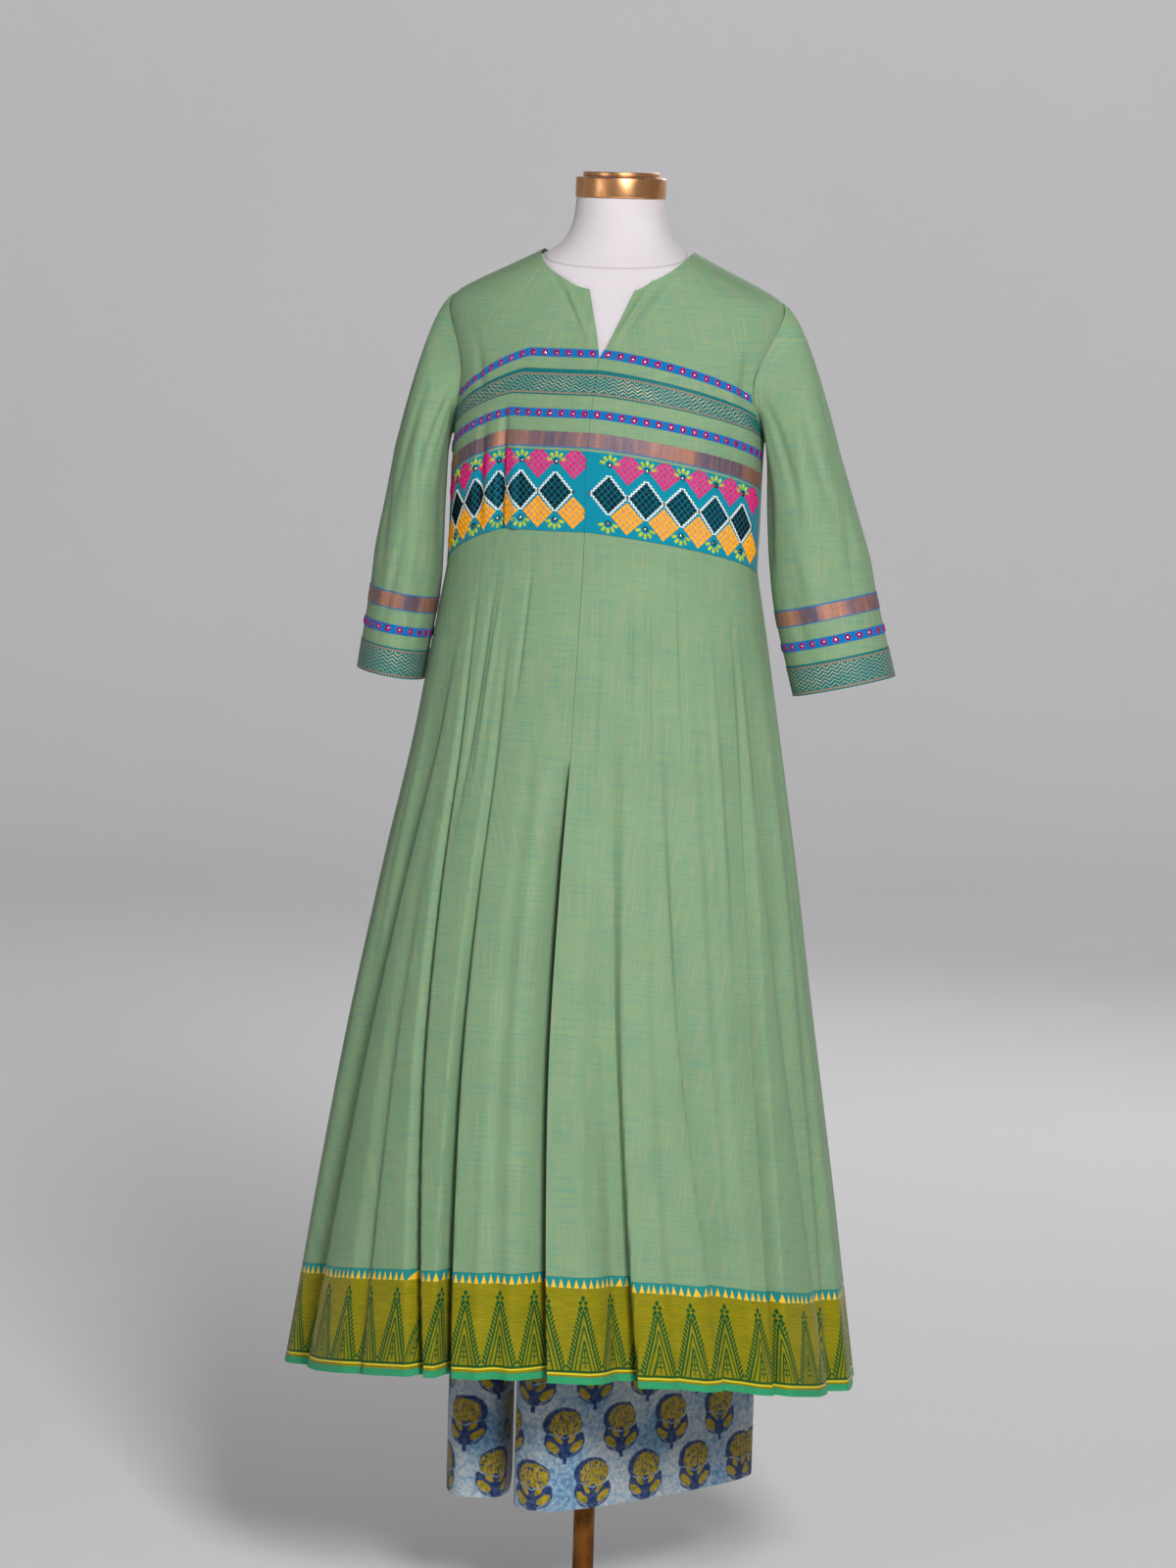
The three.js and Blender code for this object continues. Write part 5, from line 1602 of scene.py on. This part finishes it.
def embroider():
    for side, hand in HAND.items():
        embroider_band(BODICE_STRIPS["embroidered_band", side], side)
        for name in ("mirror_ribbon_low", "mirror_ribbon_high"):
            strip = BODICE_STRIPS[name, side]
            mirror_ribbon(strip, f"{name}_{hand}", 0.0, strip.u[len(strip.u) // 2, -1] - 1.0)
        strip = SLEEVE_STRIPS["ribbon", side]
        row = strip.u[len(strip.u) // 2]
        mirror_ribbon(strip, f"sleeve_ribbon_{hand}", row[0], row[-1])


# Skirt panels

SKIRT_SPAN = WAIST_SEAM_CENTRE - HEM_FRONT
BORDER_TOP = 1 - (BORDER_HEIGHT + BINDING_HEIGHT) / SKIRT_SPAN
BINDING_TOP = 1 - BINDING_HEIGHT / SKIRT_SPAN
SKIRT_PANELS = (
    {"name": "front_left", "from": 0.0, "to": 90.0},
    {"name": "back", "from": 90.0, "to": 270.0},
    {"name": "front_right", "from": -90.0, "to": 0.0},
)
BINDING_CLOTH = BORDER_CLOTH * 1.6
SKIRT_PARTS = (
    {"name": "skirt", "to": BORDER_TOP, "rows": 66, "slot": "green_silk", "cloth": CLOTH},
    {"name": "hem_border", "to": BINDING_TOP, "rows": 14, "slot": "printed_border", "cloth": BORDER_CLOTH},
    {"name": "hem_binding", "to": 1.0, "rows": 4, "slot": "hem_binding", "cloth": BINDING_CLOTH},
)
TURN_STEP = 0.42


def build_skirt():
    for panel in SKIRT_PANELS:
        right_front = panel["name"] == "front_right"
        count = int((panel["to"] - panel["from"]) / TURN_STEP)
        turns = np.linspace(panel["from"], panel["to"], count)
        centre = 1.0 if right_front else 0.0 if panel["name"] == "front_left" else 0.5
        pieces = {}
        top = 0.0
        for part in SKIRT_PARTS:
            downs = np.linspace(top, part["to"], part["rows"])
            top = part["to"]
            grid = trimmed(skirt_grid(downs, turns, right_front), SEAM_GAP / 2, SEAM_GAP / 4)
            surface = Surface(grid, centre=centre, straight=part["name"] != "skirt")
            name = f"{part['name']}_{panel['name']}"
            piece = surface.wall(f"{name}_cloth", part["cloth"], MATERIALS[part["slot"]])
            finish_piece(piece, part["slot"], name)
            pieces[part["name"]] = (piece, surface)
        declare_sheet(*pieces["skirt"], "hung")
        declare_sheet(*pieces["hem_border"], "hung", sewn_on=[pieces["hem_binding"][0]])


# Pants

def build_pants():
    heights = np.concatenate([
        np.linspace(PANTS_HEM, LEG_SET, 30)[:-1],
        np.linspace(LEG_SET, CROTCH, 34)[:-1],
        np.linspace(CROTCH, WAISTBAND["low"] - SEAM_GAP, 34),
    ])
    arounds = np.linspace(0, 180, 61)
    for side, hand in HAND.items():
        for front in (True, False):
            name = f"pants_{'front' if front else 'back'}_{hand}"
            grid = trimmed(pants_grid(side, front, heights, arounds), SEAM_GAP / 2, 0)
            surface = Surface(grid, centre=0)
            piece = surface.wall(f"{name}_cloth", CLOTH, MATERIALS["printed_cotton"])
            finish_piece(piece, "printed_cotton", name)
            declare_sheet(piece, surface, "hung", ["form_cover"])
    heights = np.linspace(WAISTBAND["low"], WAISTBAND["high"], 6)
    z, turn = np.meshgrid(heights, np.linspace(-180, 180, 97)[:-1], indexing="ij")
    section = form_section(z)
    lift = WAISTBAND["cloth"] / 2 + SEAM_GAP
    wider = {name: value + lift for name, value in section.items()}
    surface = Surface(ring_point(wider, turn, z), closed=True)
    band = surface.wall("pants_waistband_cloth", WAISTBAND["cloth"], MATERIALS["printed_cotton"])
    finish_piece(band, "printed_cotton", "pants_waistband")
    declare_sheet(band, surface, "gathered", ["form_cover"])


# Camera, light and floor

# Where the camera stands and how it is turned, in metres and degrees, and its lens
CAMERA = {"azimuth": 10.0, "distance": 6.0, "height": 1.632, "pitch": 6.384, "roll": 1.57, "aim": 0.177}
FOCAL_PIXELS = 5470.0
PHOTO_HEIGHT = 1600.0
SENSOR = 36.0


def add_camera():
    azimuth = math.radians(CAMERA["azimuth"])
    eye = Vector((
        CAMERA["distance"] * math.sin(azimuth),
        -CAMERA["distance"] * math.cos(azimuth),
        CAMERA["height"],
    ))
    data = bpy.data.cameras.new("camera")
    data.sensor_fit = "VERTICAL"
    data.sensor_height = SENSOR
    data.lens = SENSOR * FOCAL_PIXELS / PHOTO_HEIGHT
    camera = bpy.data.objects.new("camera", data)
    bpy.context.scene.collection.objects.link(camera)
    heading = Matrix.Rotation(azimuth + math.radians(CAMERA["aim"]), 4, "Z")
    tilt = Matrix.Rotation(math.radians(90 - CAMERA["pitch"]), 4, "X")
    roll = Matrix.Rotation(math.radians(CAMERA["roll"]), 4, "Z")
    camera.matrix_world = Matrix.Translation(eye) @ heading @ tilt @ roll
    bpy.context.scene.camera = camera


# Area lights, in metres and watts: where each one is, what it faces, its size and its power
LIGHTS = {
    "key": ((1.9, -4.6, 3.2), (0, 0, 0.95), (1.0, 1.2), 276),
    "fill": ((-3.4, -3.8, 1.8), (0, 0, 0.9), (2.2, 2.2), 20),
    "back_fill": ((0.5, 4.0, 3.0), (0, 0, 1.0), (3.0, 2.0), 45),
    "backdrop": ((0, 4.0, 5.4), (0, 8.4, 1.6), (6.0, 1.4), 95),
}
WORLD_STRENGTH = 0.12


def add_light(name, place, aim, size, power):
    data = bpy.data.lights.new(name, "AREA")
    data.shape = "RECTANGLE"
    data.size = size[0]
    data.size_y = size[1]
    data.energy = power
    light = bpy.data.objects.new(name, data)
    light.location = place
    facing = Vector(aim) - Vector(place)
    light.rotation_euler = facing.to_track_quat("-Z", "Y").to_euler()
    bpy.context.scene.collection.objects.link(light)


def add_studio():
    bpy.context.scene.view_settings.view_transform = "Standard"
    world = bpy.data.worlds.new("studio")
    world.use_nodes = True
    background = world.node_tree.nodes["Background"]
    background.inputs["Color"].default_value = srgb(232, 232, 236)
    background.inputs["Strength"].default_value = WORLD_STRENGTH
    bpy.context.scene.world = world
    for name, row in LIGHTS.items():
        add_light(name, *row)
    add_sweep()


def floor_paint():
    paint = Paint("floor_paint", roughness=0.9)
    x, y, z = paint.place()
    cloudy = paint.noise(x * 0.0008, y * 0.0008, z * 0.0008, detail=3.0)
    paint.base(paint.mix(cloudy, srgb(224, 223, 224), srgb(231, 230, 231)))
    return paint.material


# The floor, in metres: how far it runs flat, how it curves up, and its height
SWEEP = {"flat": 6.6, "radius": 2.0, "high": 8.0, "steps": 16, "around": 96}


def add_sweep():
    """A plain pale floor that curves up into a wall all round the part."""
    profile = [(SWEEP["flat"], 0.0)]
    for k in range(1, SWEEP["steps"] + 1):
        angle = math.radians(90 * k / SWEEP["steps"])
        out = SWEEP["flat"] + SWEEP["radius"] * math.sin(angle)
        profile.append((out, SWEEP["radius"] * (1 - math.cos(angle))))
    profile.append((SWEEP["flat"] + SWEEP["radius"], SWEEP["high"]))
    around = SWEEP["around"]
    corners = [(0.0, 0.0, 0.0)]
    for out, z in profile:
        for k in range(around):
            angle = 2 * math.pi * k / around
            corners.append((out * math.cos(angle), out * math.sin(angle), z))
    faces = [(0, 1 + k, 1 + (k + 1) % around) for k in range(around)]
    for row in range(len(profile) - 1):
        low = 1 + row * around
        for k in range(around):
            after = (k + 1) % around
            faces.append((low + k, low + around + k, low + around + after, low + after))
    mesh = bpy.data.meshes.new("floor")
    mesh.from_pydata(corners, [], faces)
    mesh.polygons.foreach_set("use_smooth", [True] * len(faces))
    mesh.materials.append(floor_paint())
    floor = bpy.data.objects.new("floor", mesh)
    bpy.context.scene.collection.objects.link(floor)


build_form()
BODICE_STRIPS = build_bodice()
SLEEVE_STRIPS = build_sleeves()
embroider()
build_skirt()
build_pants()
add_camera()
add_studio()
